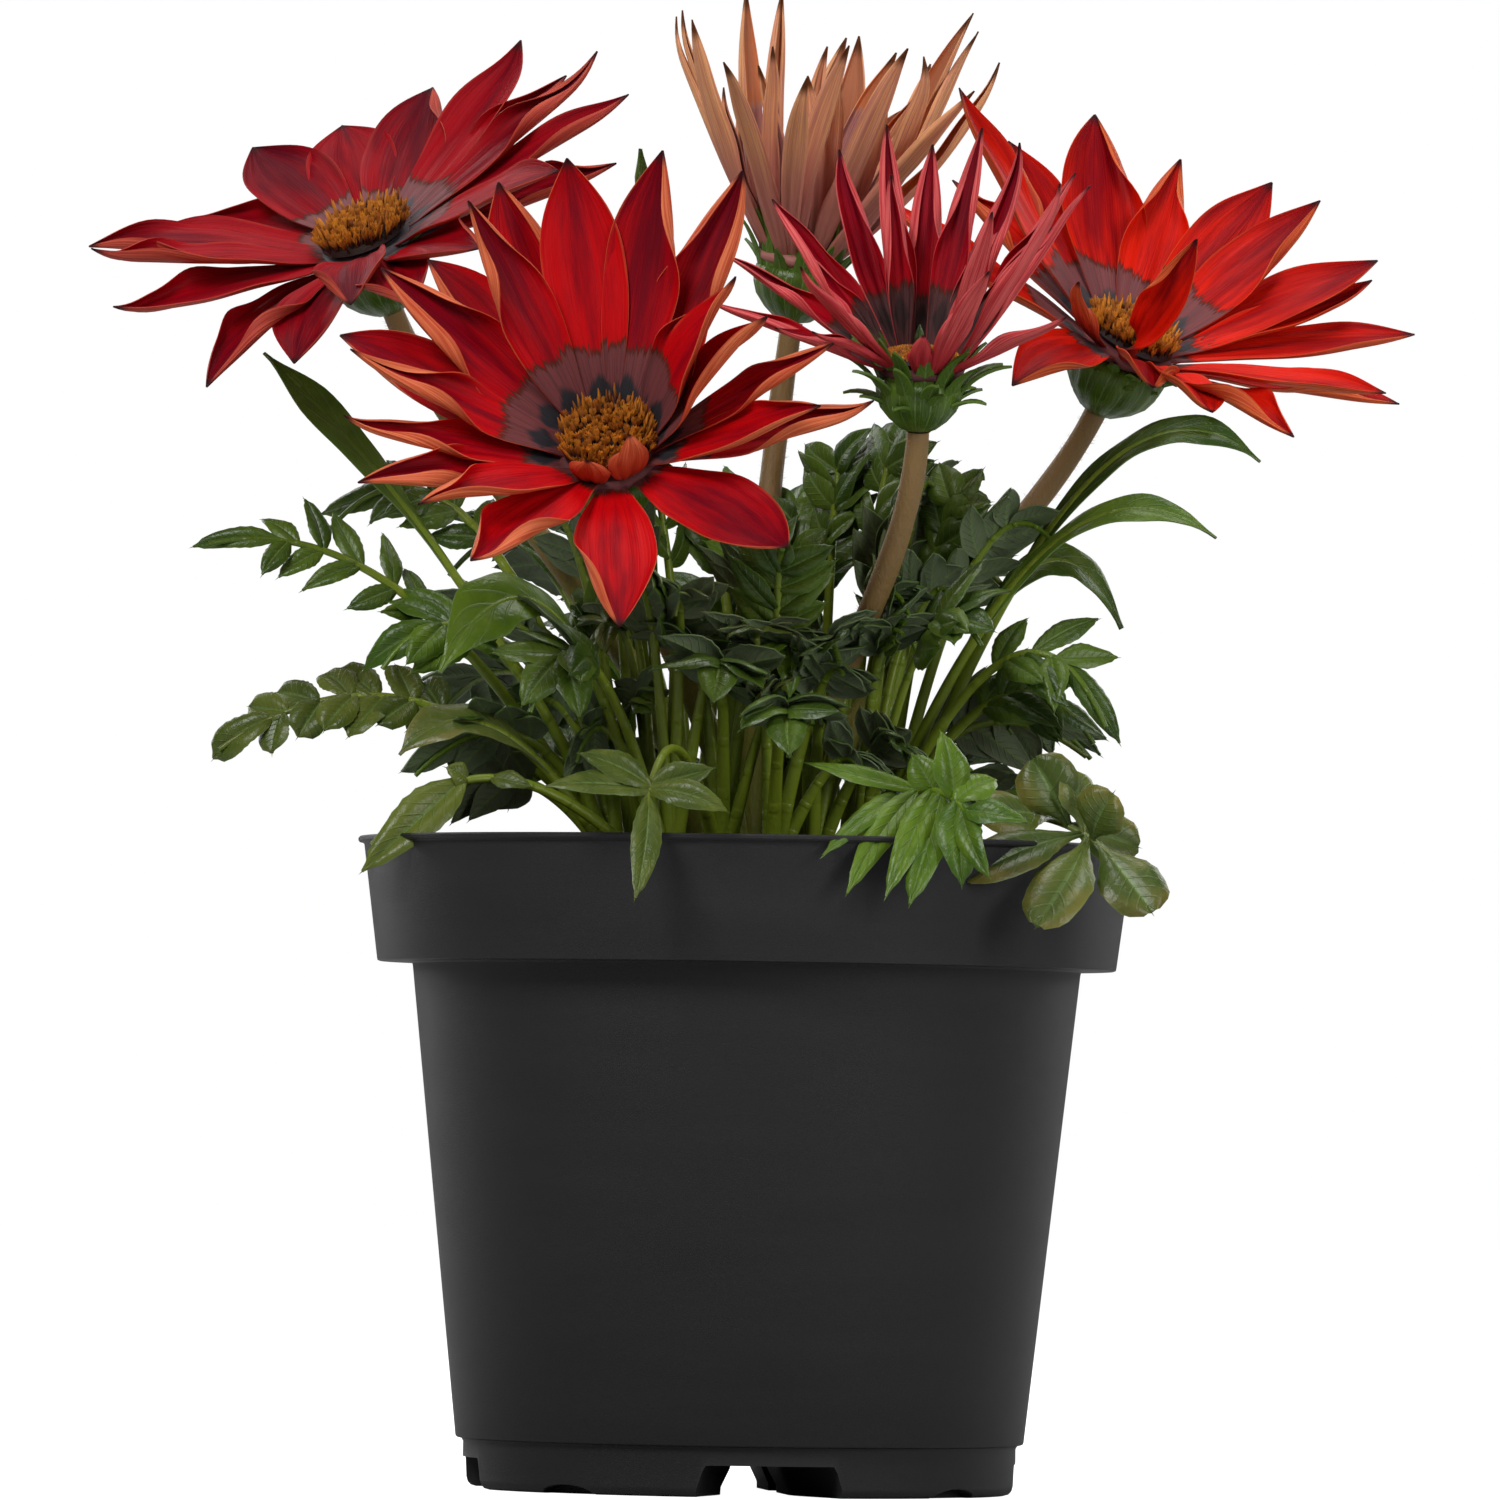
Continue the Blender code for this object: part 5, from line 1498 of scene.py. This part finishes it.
@dataclass
class Tuft:
    """A shoot of leaves: petioles that run into ribs, leaflets cut to the rib, or one strap blade."""

    number: int
    plan: TuftPlan
    half_thickness: float = 0.24
    stub_radius: float = 2.5
    stub_height: float = 4.5
    facing_roll: float = 52.0
    fillers: int = 4

    def polar(self, azimuth: float, radius: float, height: float) -> Points:
        """Returns a point from a plan angle, a distance from the axis and a height above the soil."""
        angle = math.radians(azimuth)
        return np.array((radius * math.cos(angle), radius * math.sin(angle), SOIL_TOP + height))

    def rib(self, leaf: Leaf, share: Points) -> tuple[Points, Points, Points, Points]:
        """Returns points on a leaf's rib.

        Args:
            leaf: The leaf's plan.
            share: Shares of the rib's length.

        Returns:
            The points, their direction, their side and their upper normal.
        """
        plan = self.plan
        start = self.polar(plan.azimuth, plan.radius, 3.0)
        peak = self.polar(leaf.azimuth, plan.radius + leaf.lean * (leaf.reach - plan.radius), leaf.arch)
        end = self.polar(leaf.azimuth, leaf.reach, leaf.tip)
        share = np.asarray(share, float)[:, None]
        rest = 1 - share
        points = rest ** 2 * start + 2 * rest * share * peak + share ** 2 * end
        along = unit(rest * (peak - start) + share * (end - peak))
        outward = math.radians(leaf.azimuth)
        side = np.broadcast_to((-math.sin(outward), math.cos(outward), 0.0), along.shape)
        side = unit(side - along * (side * along).sum(-1, keepdims=True))
        roll = leaf.roll
        if roll is None:
            front = 1.0 if math.sin(outward) < 0.35 else -0.7
            roll = self.facing_roll * math.cos(outward) * front
        side = turn_about(along, np.full(len(side), roll), side)
        return points, along, side, np.cross(along, side)

    def add_stalk(self, solids: Solids, leaf: Leaf, end: float, random: np.random.Generator) -> None:
        """Adds the petiole and rib as one slim tube, flattened on its upper side.

        Args:
            solids: Where it is added.
            leaf: The leaf's plan.
            end: The share of the rib's length where it runs out.
            random: The tuft's own random draws.
        """
        share = np.linspace(0, end, 34)
        points, _, side, _ = self.rib(leaf, share)
        wide = 1.45 - 1.0 * np.clip(share / max(end, 0.01), 0, 1) ** 0.7
        wide *= 1 + 0.3 * np.exp(-share * 18)
        solids.tube(points, wide, wide * 0.8, 10, random.random(), 1.0, side)

    def add_lobe(
        self, solids: Solids, leaf: Leaf, share: float, hand: int, length: float, random: np.random.Generator,
    ) -> None:
        """Adds one leaflet that grows from the rib.

        Args:
            solids: Where it is added.
            leaf: The leaf's plan.
            share: The share of the rib's length at which it grows.
            hand: 1 on the rib's side direction, -1 on the other, 0 for the leaflet at the tip.
            length: The leaflet's length.
            random: The tuft's own random draws.
        """
        point, ahead, side, normal = (row[0] for row in self.rib(leaf, [share]))
        angle = math.radians(random.uniform(42, 62)) * hand
        aim = ahead * math.cos(angle) + side * math.sin(angle)
        droop = random.uniform(-0.1, 0.45)
        tip = point + unit(aim - normal * droop) * length
        tip[:2] *= min(1.0, (leaf.reach - 0.5) / float(np.hypot(*tip[:2])))
        face = unit(normal + 0.35 * aim * droop + random.normal(0, 0.16, 3))
        self.add_blade(solids, leaf, point, tip, leaf.width, face, share, random)

    def add_blade(
        self, solids: Solids, leaf: Leaf, root: Points, tip: Points, half_width: float, face: Points,
        share: float, random: np.random.Generator,
    ) -> None:
        """Adds one leaflet between two points.

        Args:
            solids: Where it is added.
            leaf: The leaf's plan, for its outline.
            root: Where the leaflet leaves the rib.
            tip: Its tip.
            half_width: Half its width where it is widest.
            face: The direction that its upper side faces.
            share: The share of the rib's length at which it grows.
            random: The tuft's own random draws.
        """
        rows, columns = leaf.detail + 1, leaf.detail // 2 + 1
        along = np.linspace(0, 0.997, rows)
        across = np.linspace(-1, 1, columns)
        length = float(np.linalg.norm(tip - root))
        face = unit(face - unit(tip - root) * (face @ unit(tip - root)))
        middle = (root + tip) / 2 + face * length * random.uniform(0.02, 0.2)
        middle = middle + np.cross(face, unit(tip - root)) * length * random.uniform(-0.07, 0.07)
        share_out = along[:, None]
        rest = 1 - share_out
        spine = rest ** 2 * root + 2 * rest * share_out * middle + share_out ** 2 * tip
        direction = unit(rest * (middle - root) + share_out * (tip - middle))
        breadth = unit(np.cross(np.broadcast_to(face, direction.shape), direction))
        breadth = turn_about(direction, random.uniform(-26, 26) * along, breadth)
        up = np.cross(direction, breadth)
        half = self.lobe_width(leaf, along) / leaf.width * half_width
        spread = np.abs(across)[None, :]
        section = random.uniform(0.08, 0.42) * spread + 0.14 * np.sin(math.pi * spread) - 0.16 * spread ** 4
        wave = 0.22 * np.sin(along * 10 + random.random() * 6)[:, None] * across[None, :] ** 3
        grid = spine[:, None] + breadth[:, None] * (across[None, :] * half[:, None])[..., None]
        bend = section * half[:, None] + wave * np.minimum(half[:, None], 2.0) / 2
        grid = grid + up[:, None] * bend[..., None]
        edge = 1 - 0.55 * spread ** 3
        thick = self.half_thickness * edge * np.ones((rows, 1))
        solids.sheet(grid, thick, blade_vectors(share, across, along), random.random())
        end = spine[-1] + direction[-1] * 0.9
        solids.spikes(spine[-1:] - direction[-1:] * 0.3, end[None, :], 0.16, 0.35)

    def lobe_width(self, leaf: Leaf, along: Points) -> Points:
        """Returns half a leaflet's width along its length, by its outline."""
        if leaf.lobe is Lobe.SPOON:
            blunt = 0.14 + 1.0 * smooth(0.05, 0.6, along) * np.sqrt(np.clip(1 - along ** 7, 0, 1))
            return leaf.width * blunt * (1 + 0.03 * np.sin(along * 46)) + 0.05
        elif leaf.lobe is Lobe.ROUND:
            shape = 0.3 + 0.8 * np.sin(math.pi * np.clip(along, 0, 1) ** 1.1) ** 0.6
        else:
            shape = 0.2 + 0.85 * np.sin(math.pi * along ** 0.85) ** 1.1 * (1 - 0.25 * along)
        teeth = 1 + 0.035 * np.sin(along * 46)
        return leaf.width * shape * teeth * (1 - smooth(0.86, 1.0, along) * 0.85) + 0.05

    def add_strap(self, solids: Solids, leaf: Leaf, random: np.random.Generator) -> None:
        """Adds one long strap blade with a folded midrib.

        Args:
            solids: Where it is added.
            leaf: The leaf's plan.
            random: The tuft's own random draws.
        """
        rows, columns = 40, 9
        share = np.linspace(0.16, 0.998, rows)
        across = np.linspace(-1, 1, columns)
        points, _, side, normal = self.rib(leaf, share)
        bare = 1 - leaf.stalk
        swell = smooth(leaf.stalk - 0.29 * bare, leaf.stalk + 0.57 * bare, share)
        swell = swell * (1 - smooth(1 - 0.35 * bare, 1.0, share) * 0.97)
        half = 0.7 + (leaf.width - 0.7) * swell - 0.6 * smooth(0.9, 1.0, share)
        half = half * (1 + 0.05 * np.sin(share * 40 + random.random() * 6))
        spin = random.uniform(-18, 18) * smooth(0.3, 1.0, share)
        axis = np.cross(side, normal)
        side, normal = turn_about(axis, spin, side), turn_about(axis, spin, normal)
        lift = 0.28 * np.abs(across)[None, :] * half[:, None] - 0.12 * across[None, :] ** 4 * half[:, None]
        wave = 0.4 * np.sin(share * 17 + random.random() * 6)[:, None] * across[None, :] ** 3
        grid = points[:, None] + side[:, None] * (across[None, :] * half[:, None])[..., None]
        grid = grid + normal[:, None] * (lift + wave)[..., None]
        blade = blade_vectors(share, across, np.clip((share - 0.3) / 0.7, 0, 1))
        thick = self.half_thickness * (1 - 0.5 * np.abs(across)[None, :] ** 3) * np.ones((rows, 1))
        solids.sheet(grid, thick, blade, random.random())

    def add_leaf(self, solids: Solids, leaf: Leaf, random: np.random.Generator) -> None:
        """Adds one whole leaf.

        Args:
            solids: Where it is added.
            leaf: The leaf's plan.
            random: The tuft's own random draws.
        """
        if not leaf.pairs:
            self.add_stalk(solids, leaf, 0.9, random)
            self.add_strap(solids, leaf, random)
            return
        self.add_stalk(solids, leaf, 1.02 - leaf.terminal * 0.3, random)
        if leaf.blades:
            for share, x, y, z, wide in leaf.blades:
                root = self.rib(leaf, [share])[0][0]
                face = unit(np.array((0.15 * random.normal(), -0.8, 0.6)) + random.normal(0, 0.12, 3))
                tip = np.array((x, y, z))
                self.add_blade(solids, leaf, root, tip, leaf.width * wide, face, share, random)
            return
        pairs = leaf.pairs + 1
        pitch = (1 - leaf.terminal - leaf.stalk) / pairs
        for pair in range(pairs):
            swell = 0.7 + 0.3 * math.sin(math.pi * (pair + 0.6) / pairs)
            for hand in (1, -1):
                share = leaf.stalk + (pair + 0.5) * pitch + random.uniform(-0.2, 0.2) * pitch
                length = leaf.leaflet * swell * random.uniform(0.85, 1.1)
                self.add_lobe(solids, leaf, share, hand, length, random)
        points, _, _, _ = self.rib(leaf, [1 - leaf.terminal, 1.0])
        length = float(np.linalg.norm(points[1] - points[0]))
        self.add_lobe(solids, leaf, 1 - leaf.terminal, 0, length, random)

    def inner_leaves(self, random: np.random.Generator) -> list[Leaf]:
        """Returns the younger leaves that fill the tuft, kept low where the front bloom hangs over it.

        Args:
            random: The tuft's own random draws.

        Returns:
            The leaves.
        """
        front = math.sin(math.radians(self.plan.azimuth)) < -0.35
        greens = (Green.DARK, Green.DARK, Green.FRESH, Green.OLIVE)
        leaves = []
        for place in range(self.plan.tall):
            tip = random.uniform(56, 76)
            leaves.append(Leaf(
                azimuth=self.plan.azimuth + random.uniform(-24, 24), reach=random.uniform(28, 42), tip=tip,
                arch=tip + random.uniform(10, 20), lean=0.35, leaflet=random.uniform(11, 14), width=2.9,
                roll=random.uniform(-50, 50), green=greens[place % 3], detail=10,
            ))
        for _ in range(self.fillers):
            tip = random.uniform(18, 46) if front else random.uniform(4, 60)
            leaves.append(Leaf(
                azimuth=self.plan.azimuth + random.uniform(-26, 26),
                reach=self.plan.radius + random.uniform(2, 18 if front else 42),
                tip=tip, arch=tip + random.uniform(8, 30), lean=random.uniform(0.35, 0.6),
                leaflet=random.uniform(9, 13) if front else random.uniform(11, 15),
                width=random.uniform(1.9, 2.6) if front else random.uniform(2.3, 3.2),
                roll=random.uniform(-60, 60), green=greens[random.integers(4)], stalk=0.56 if front else 0.42,
                detail=12 if front else 10,
            ))
        return leaves

    def build(self) -> dict[Green, Solids]:
        """Returns the tuft's solids by leaf surface."""
        random = np.random.default_rng(500 + self.number)
        made: dict[Green, Solids] = {}
        for leaf in (*self.plan.leaves, *self.inner_leaves(random)):
            solids = made.setdefault(leaf.green, Solids())
            self.add_leaf(solids, leaf, random)
        base = self.polar(self.plan.azimuth, self.plan.radius, 0.0)
        path = base + np.linspace(-5.7, self.stub_height, 6)[:, None] * np.array((0, 0, 1.0))
        radius = self.stub_radius * np.array((1.0, 1.0, 0.97, 0.9, 0.75, 0.5))
        next(iter(made.values())).tube(path, radius, radius, 12, 0.5, 1.0)
        return made

    def dress(self, coats: dict[str, Material]) -> None:
        """Builds and dresses the tuft.

        Args:
            coats: The materials by name.
        """
        for green, solids in self.build().items():
            made = solids.made(f"leaves_{self.number:02d}_{green.value}", coats[green.value], 50.0)
            stand_in(made, [f"leaf_tuft_{self.number:02d}"])


@dataclass
class Pot:
    """The moulded nursery pot: sizes in millimetres."""

    lip_radius: float = 65.0
    height: float = 108.0
    lip_thickness: float = 1.0
    collar_top: float = 64.0
    collar_bottom: float = 61.6
    collar_z: float = 87.3
    body_top: float = 55.7
    body_bottom: float = 47.3
    foot_radius: float = 46.0
    foot_height: float = 8.4
    wall: float = 1.2
    floor_z: float = 7.0
    foot_turn: float = 6.5
    drain_radius: float = 3.0
    drain_ring: float = 26.0
    notch_width: float = 10.6
    steps: int = 192

    def profile(self) -> list[tuple[float, float]]:
        """Returns the section from the bottom centre, up the outside and down the inside."""
        wall, foot, rise = self.wall, self.foot_radius, self.foot_height
        body_low, body_high = self.body_bottom, self.body_top
        collar_low, collar_high, ledge = self.collar_bottom, self.collar_top, self.collar_z
        lip, top = self.lip_radius, self.height
        under = top - self.lip_thickness
        outside = [
            (0.0, 0.0), (foot - 1.6, 0.0), (foot - 0.7, 0.25), (foot - 0.2, 0.8), (foot, 1.6),
            (foot, rise - 0.7), (foot + 0.3, rise - 0.2), (body_low - 0.2, rise), (body_low, rise + 0.3),
            (body_high - 0.1, ledge - 0.8), (body_high, ledge - 0.3), (body_high + 0.3, ledge),
            (collar_low - 0.5, ledge), (collar_low - 0.1, ledge + 0.15), (collar_low, ledge + 0.6),
            (collar_high, under - 0.3), (collar_high + 0.3, under), (lip - 0.2, under + 0.05),
            (lip, top - 0.7), (lip, top - 0.3), (lip - 0.25, top),
        ]
        inside = [
            (collar_high - wall + 0.3, top), (collar_high - wall, top - 0.3),
            (collar_low - wall, ledge + wall + 0.4), (collar_low - wall - 0.4, ledge + wall),
            (body_high - wall, ledge + wall), (body_low - 2 * wall, self.floor_z), (0.0, self.floor_z),
        ]
        return outside + inside

    def channel(self, turn: float) -> bpy.types.Object:
        """Returns a cutter for one drain channel: narrow inside, flared at the skirt."""
        solids = Solids()
        rows = []
        for x in np.linspace(-52, 52, 41):
            flare = 3.9 + 6.8 * float(smooth(22, 47, np.array(abs(x))))
            bottom = flare + 1.8
            half = (flare, flare * 1.06, bottom * 0.98, bottom)
            lean = np.array([-y for y in reversed(half)] + list(half))
            level = np.array((-1.0, 1.2, 4.2, 5.2, 5.2, 4.2, 1.2, -1.0))
            rows.append(np.stack([np.full(8, x), lean, level], axis=-1))
        points = np.concatenate(rows) @ about_upright(turn)
        faces = []
        for row in range(40):
            for step in range(8):
                a, b = row * 8 + step, row * 8 + (step + 1) % 8
                faces.append((a, b, b + 8, a + 8))
        faces.append(tuple(range(7, -1, -1)))
        faces.append(tuple(range(40 * 8, 41 * 8)))
        solids.add(points, [tuple(reversed(face)) for face in faces], np.zeros(3), np.zeros(3))
        return solids.made(f"channel_{turn:.0f}", bpy.data.materials.new("cutter"))

    def drain(self, centre: Points) -> bpy.types.Object:
        """Returns a cutter for one drain hole."""
        solids = Solids()
        path = centre + np.array([(0.0, 0.0, 3.0), (0.0, 0.0, 5.0), (0.0, 0.0, self.floor_z + 1)])
        wide = np.full(3, self.drain_radius)
        solids.tube(path, wide, wide, 32, 0.0)
        return solids.made("drain", bpy.data.materials.new("cutter"))

    def notch(self, turn: float) -> bpy.types.Object:
        """Returns a cutter for one shallow notch in the skirt, rounded at its top."""
        solids = Solids()
        outward = level_way(math.radians(turn))
        path = np.array([outward * 42.6, outward * 47.0, outward * 52.0])
        side = np.broadcast_to((-outward[1], outward[0], 0.0), path.shape)
        solids.tube(path, np.full(3, self.notch_width / 2), np.full(3, 1.55), 24, 0.0, 0.0, side)
        return solids.made("notch", bpy.data.materials.new("cutter"))

    def build(self, coat: Material) -> bpy.types.Object:
        """Builds the pot and cuts its channels, drain holes and notches.

        Args:
            coat: Its material.

        Returns:
            The pot.
        """
        rings = [circle(radius, height, self.steps) for radius, height in self.profile()]
        solids = Solids()
        solids.turned(np.array(rings), np.zeros((len(rings), self.steps, 3)), 0.5)
        pot = solids.made("nursery_pot", coat, 32.0)
        turns = [self.foot_turn + 90 * quarter for quarter in range(4)]
        cutters = [self.channel(turns[0]), self.channel(turns[1]), self.drain(np.zeros(3))]
        for turn in turns:
            cutters.append(self.drain(self.drain_ring * level_way(math.radians(turn))))
            cutters.append(self.notch(turn + 45))
        for cutter in cutters:
            slicing = pot.modifiers.new("cut", "BOOLEAN")
            slicing.operation = "DIFFERENCE"
            slicing.solver = "EXACT"
            slicing.object = cutter
            bpy.context.view_layer.update()
            graph = bpy.context.evaluated_depsgraph_get()
            pot.data = bpy.data.meshes.new_from_object(pot.evaluated_get(graph))
            pot.modifiers.clear()
            bpy.data.objects.remove(cutter)
        pot.data.materials.clear()
        pot.data.materials.append(coat)
        pot.data.shade_smooth()
        pot.data.set_sharp_from_angle(angle=math.radians(32))
        return pot

    def dress(self, coats: dict[str, Material]) -> None:
        """Builds and dresses the pot.

        Args:
            coats: The materials by name.
        """
        stand_in(self.build(coats["pot_plastic"]), ["pot"])


@dataclass
class Peat:
    """The potting soil: a crumbly mound that fills the pot, with loose crumbs on it."""

    edge_z: float = 97.0
    top_z: float = 99.0
    mound: float = 1.0
    rings: int = 60
    steps: int = 168
    crumbs: int = 900

    def level(self, radius: Points) -> Points:
        """Returns the mean height of the surface at a radius."""
        inner = self.top_z + self.mound * (1 - np.clip(radius / 36.0, 0, 1))
        outer = self.top_z + (self.edge_z - self.top_z) * np.clip((radius - 36.0) / 25.0, 0, 1)
        return np.where(radius < 36.0, inner, outer)

    def build(self) -> Solids:
        """Returns the peat with its crumbs."""
        random = np.random.default_rng(77)
        solids = Solids()
        low = ((0.0, 7.3), (44.4, 7.3), (54.2, 88.8), (60.1, 88.8))
        rings = [circle(radius, height, self.steps) for radius, height in low]
        for share in np.linspace(1, 0, self.rings):
            radius = 61.0 * share
            ring = circle(radius, float(self.level(np.array(radius))), self.steps)
            rough = [noise.fractal(Vector((x * 0.35, y * 0.35, 3.0)), 1.0, 2.1, 4) for x, y, _ in ring]
            ring[:, 2] += np.array(rough) * 1.1 * (share < 0.995) - 0.3
            if share == 0:
                ring[:, 2] = ring[0, 2]
            rings.append(ring)
        blade = np.zeros((len(rings), self.steps, 3))
        solids.turned(np.array(rings), blade, 0.5)
        base = np.array((
            (1, 1, 1), (1, -1, -1), (-1, 1, -1), (-1, -1, 1), (1.4, 0, 0), (-1.4, 0, 0), (0, 1.4, 0),
            (0, -1.4, 0), (0, 0, 1.4), (0, 0, -1.4), (1, 1, -1), (1, -1, 1), (-1, 1, 1), (-1, -1, -1),
        ))
        hull = crumb_faces(base)
        for index in range(self.crumbs):
            radius = 59.5 * math.sqrt(random.random())
            place = radius * level_way(random.random() * math.tau)
            size = random.uniform(0.35, 1.1) * (1.7 if random.random() < 0.06 else 1.0)
            place[2] = float(self.level(np.array(radius))) + 0.3 * size
            shape = base * size * random.uniform(0.55, 1.0, (len(base), 1)) * random.uniform(0.6, 1.25, 3)
            solids.add(shape + place, hull, np.zeros(3), np.array((random.random(), 0.0, 1.0)))
        return solids

    def dress(self, coats: dict[str, Material]) -> None:
        """Builds and dresses the peat.

        Args:
            coats: The materials by name.
        """
        stand_in(self.build().made("peat", coats["potting_soil"], 40.0), ["soil"])


def crumb_faces(corners: Points) -> list[tuple[int, ...]]:
    """Returns the faces of the closed crumb with these corners, pointing out."""
    hull = bmesh.new()
    points = [hull.verts.new(corner) for corner in corners]
    for index, point in enumerate(points):
        point.index = index
    bmesh.ops.convex_hull(hull, input=points)
    faces = [tuple(corner.index for corner in face.verts) for face in hull.faces]
    hull.free()
    return faces


GRAIN_FINISHES = (
    PotPlastic(
        "pot_plastic", 22.0, 2600.0, 6.0, bump=0.00006, gloss=0.20, rough=(0.10, 0.40), rough_grain="Cloud",
    ),
    CrumblyPeat("potting_soil", 260.0, 1500.0, 1.0, bump=0.0006, gloss=0.2, rough=(0.2, 0.78)),
    FloretGold("florets", 500.0, 2500.0, 1.0, bump=0.0001, gloss=0.3, rough=(0.3, 0.45)),
    StemSkin("stem_skin", 120.0, 1800.0, 0.25, bump=0.0002, gloss=0.35, rough=(0.2, 0.45)),
)
LEAF_FINISHES = (
    LeafFinish("leaf_dark", (0.028, 0.062, 0.005), (0.084, 0.142, 0.013)),
    LeafFinish("leaf_fresh", (0.040, 0.094, 0.004), (0.108, 0.190, 0.011)),
    LeafFinish("leaf_olive", (0.050, 0.078, 0.008), (0.118, 0.148, 0.020)),
    LeafFinish("leaf_blotched", (0.050, 0.080, 0.012), (0.118, 0.150, 0.030), blotching=0.22),
    LeafFinish("cup_green", (0.034, 0.076, 0.004), (0.105, 0.190, 0.012), under=(0.065, 0.130, 0.010)),
)


@dataclass
class Studio:
    """The floor, the light and the camera. Distances are in metres."""

    camera_distance: float = 2.315
    eye_height: float = 0.058
    aim_height: float = 0.1234
    field_of_view: float = 6.18
    roll: float = 0.88
    surround: float = 0.10

    def build_floor(self) -> None:
        """Adds the plain pale floor."""
        mesh = bpy.data.meshes.new("floor")
        half = 6.0
        corners = [(-half, -half, 0), (half, -half, 0), (half, half, 0), (-half, half, 0)]
        mesh.from_pydata(corners, [], [(0, 1, 2, 3)])
        floor = bpy.data.objects.new("floor", mesh)
        floor.location = (AXIS.x, AXIS.y, AXIS.z - 0.00005)
        made = bpy.data.materials.new("floor_white")
        made.use_nodes = True
        graph = Graph(made.node_tree)
        graph.give(
            made.node_tree.nodes["Principled BSDF"], Base_Color=(0.45, 0.45, 0.45), Roughness=0.9,
            Specular_IOR_Level=0.1, Emission_Color=(1.0, 1.0, 1.0),
            Emission_Strength=graph.node("ShaderNodeLightPath").outputs["Is Camera Ray"],
        )
        mesh.materials.append(made)
        bpy.context.scene.collection.objects.link(floor)

    def build_light(self, name: str, place: tuple, aim: tuple, size: tuple, power: float) -> None:
        """Adds one soft light.

        Args:
            name: Its name.
            place: Where it hangs.
            aim: What it points at.
            size: Its width and height.
            power: Its power in watts.
        """
        lamp = bpy.data.lights.new(name, "AREA")
        lamp.shape = "RECTANGLE"
        lamp.size, lamp.size_y = size
        lamp.energy = power
        light = bpy.data.objects.new(name, lamp)
        light.location = Vector(place) + AXIS
        light.rotation_euler = (Vector(aim) - Vector(place)).to_track_quat("-Z", "Y").to_euler()
        bpy.context.scene.collection.objects.link(light)

    def build_lights(self) -> None:
        """Adds the soft lights and the white surround."""
        aim = (0.0, 0.0, 0.14)
        self.build_light("key", (-0.75, -1.2, 1.25), aim, (0.7, 0.7), 20.0)
        self.build_light("fill", (1.2, -1.1, 0.6), aim, (0.6, 0.9), 10.5)
        self.build_light("top", (0.1, 0.2, 1.5), aim, (0.9, 0.9), 11.0)
        self.build_light("back_left", (-0.9, 1.1, 0.7), aim, (0.7, 1.0), 7.0)
        self.build_light("back_right", (0.9, 1.1, 0.7), aim, (0.7, 1.0), 7.0)
        world = bpy.data.worlds.new("studio")
        world.use_nodes = True
        graph = Graph(world.node_tree)
        backdrop = world.node_tree.nodes["Background"]
        seen = Value(graph, graph.node("ShaderNodeLightPath").outputs["Is Camera Ray"])
        strength = seen.scaled(1.0 - self.surround, self.surround)
        graph.give(backdrop, Color=(1.0, 1.0, 1.0), Strength=strength)
        bpy.context.scene.world = world
        bpy.context.scene.view_settings.view_transform = "Standard"

    def build_camera(self) -> None:
        """Adds the camera: a long lens at pot height, tilted and rolled slightly."""
        camera_data = bpy.data.cameras.new("camera")
        camera_data.angle = math.radians(self.field_of_view)
        camera_data.clip_end = 50.0
        camera = bpy.data.objects.new("camera", camera_data)
        place = AXIS + Vector((0.0, -self.camera_distance, self.eye_height))
        look = AXIS + Vector((0.0, 0.0, self.aim_height)) - place
        turn = look.to_track_quat("-Z", "Y") @ Quaternion((0, 0, 1), math.radians(self.roll))
        camera.location = place
        camera.rotation_euler = turn.to_euler()
        bpy.context.scene.collection.objects.link(camera)
        bpy.context.scene.camera = camera


def main() -> None:
    """Builds every sub-assembly in order."""
    logging.basicConfig(level=logging.INFO, format="%(name)s: %(message)s")
    studio = Studio()
    studio.build_camera()
    studio.build_lights()
    studio.build_floor()
    finishes = Finishes()
    plans = (*GRAIN_FINISHES, *LEAF_FINISHES, *(plan.finish for plan in BLOOMS))
    coats = {finish.name: finish.make(finishes) for finish in plans}
    Pot().dress(coats)
    Peat().dress(coats)
    for plan in BLOOMS:
        Bloom(plan).dress(coats)
    for number, plan in enumerate(TUFTS, start=1):
        Tuft(number, plan).dress(coats)


if __name__ == "__main__":
    main()
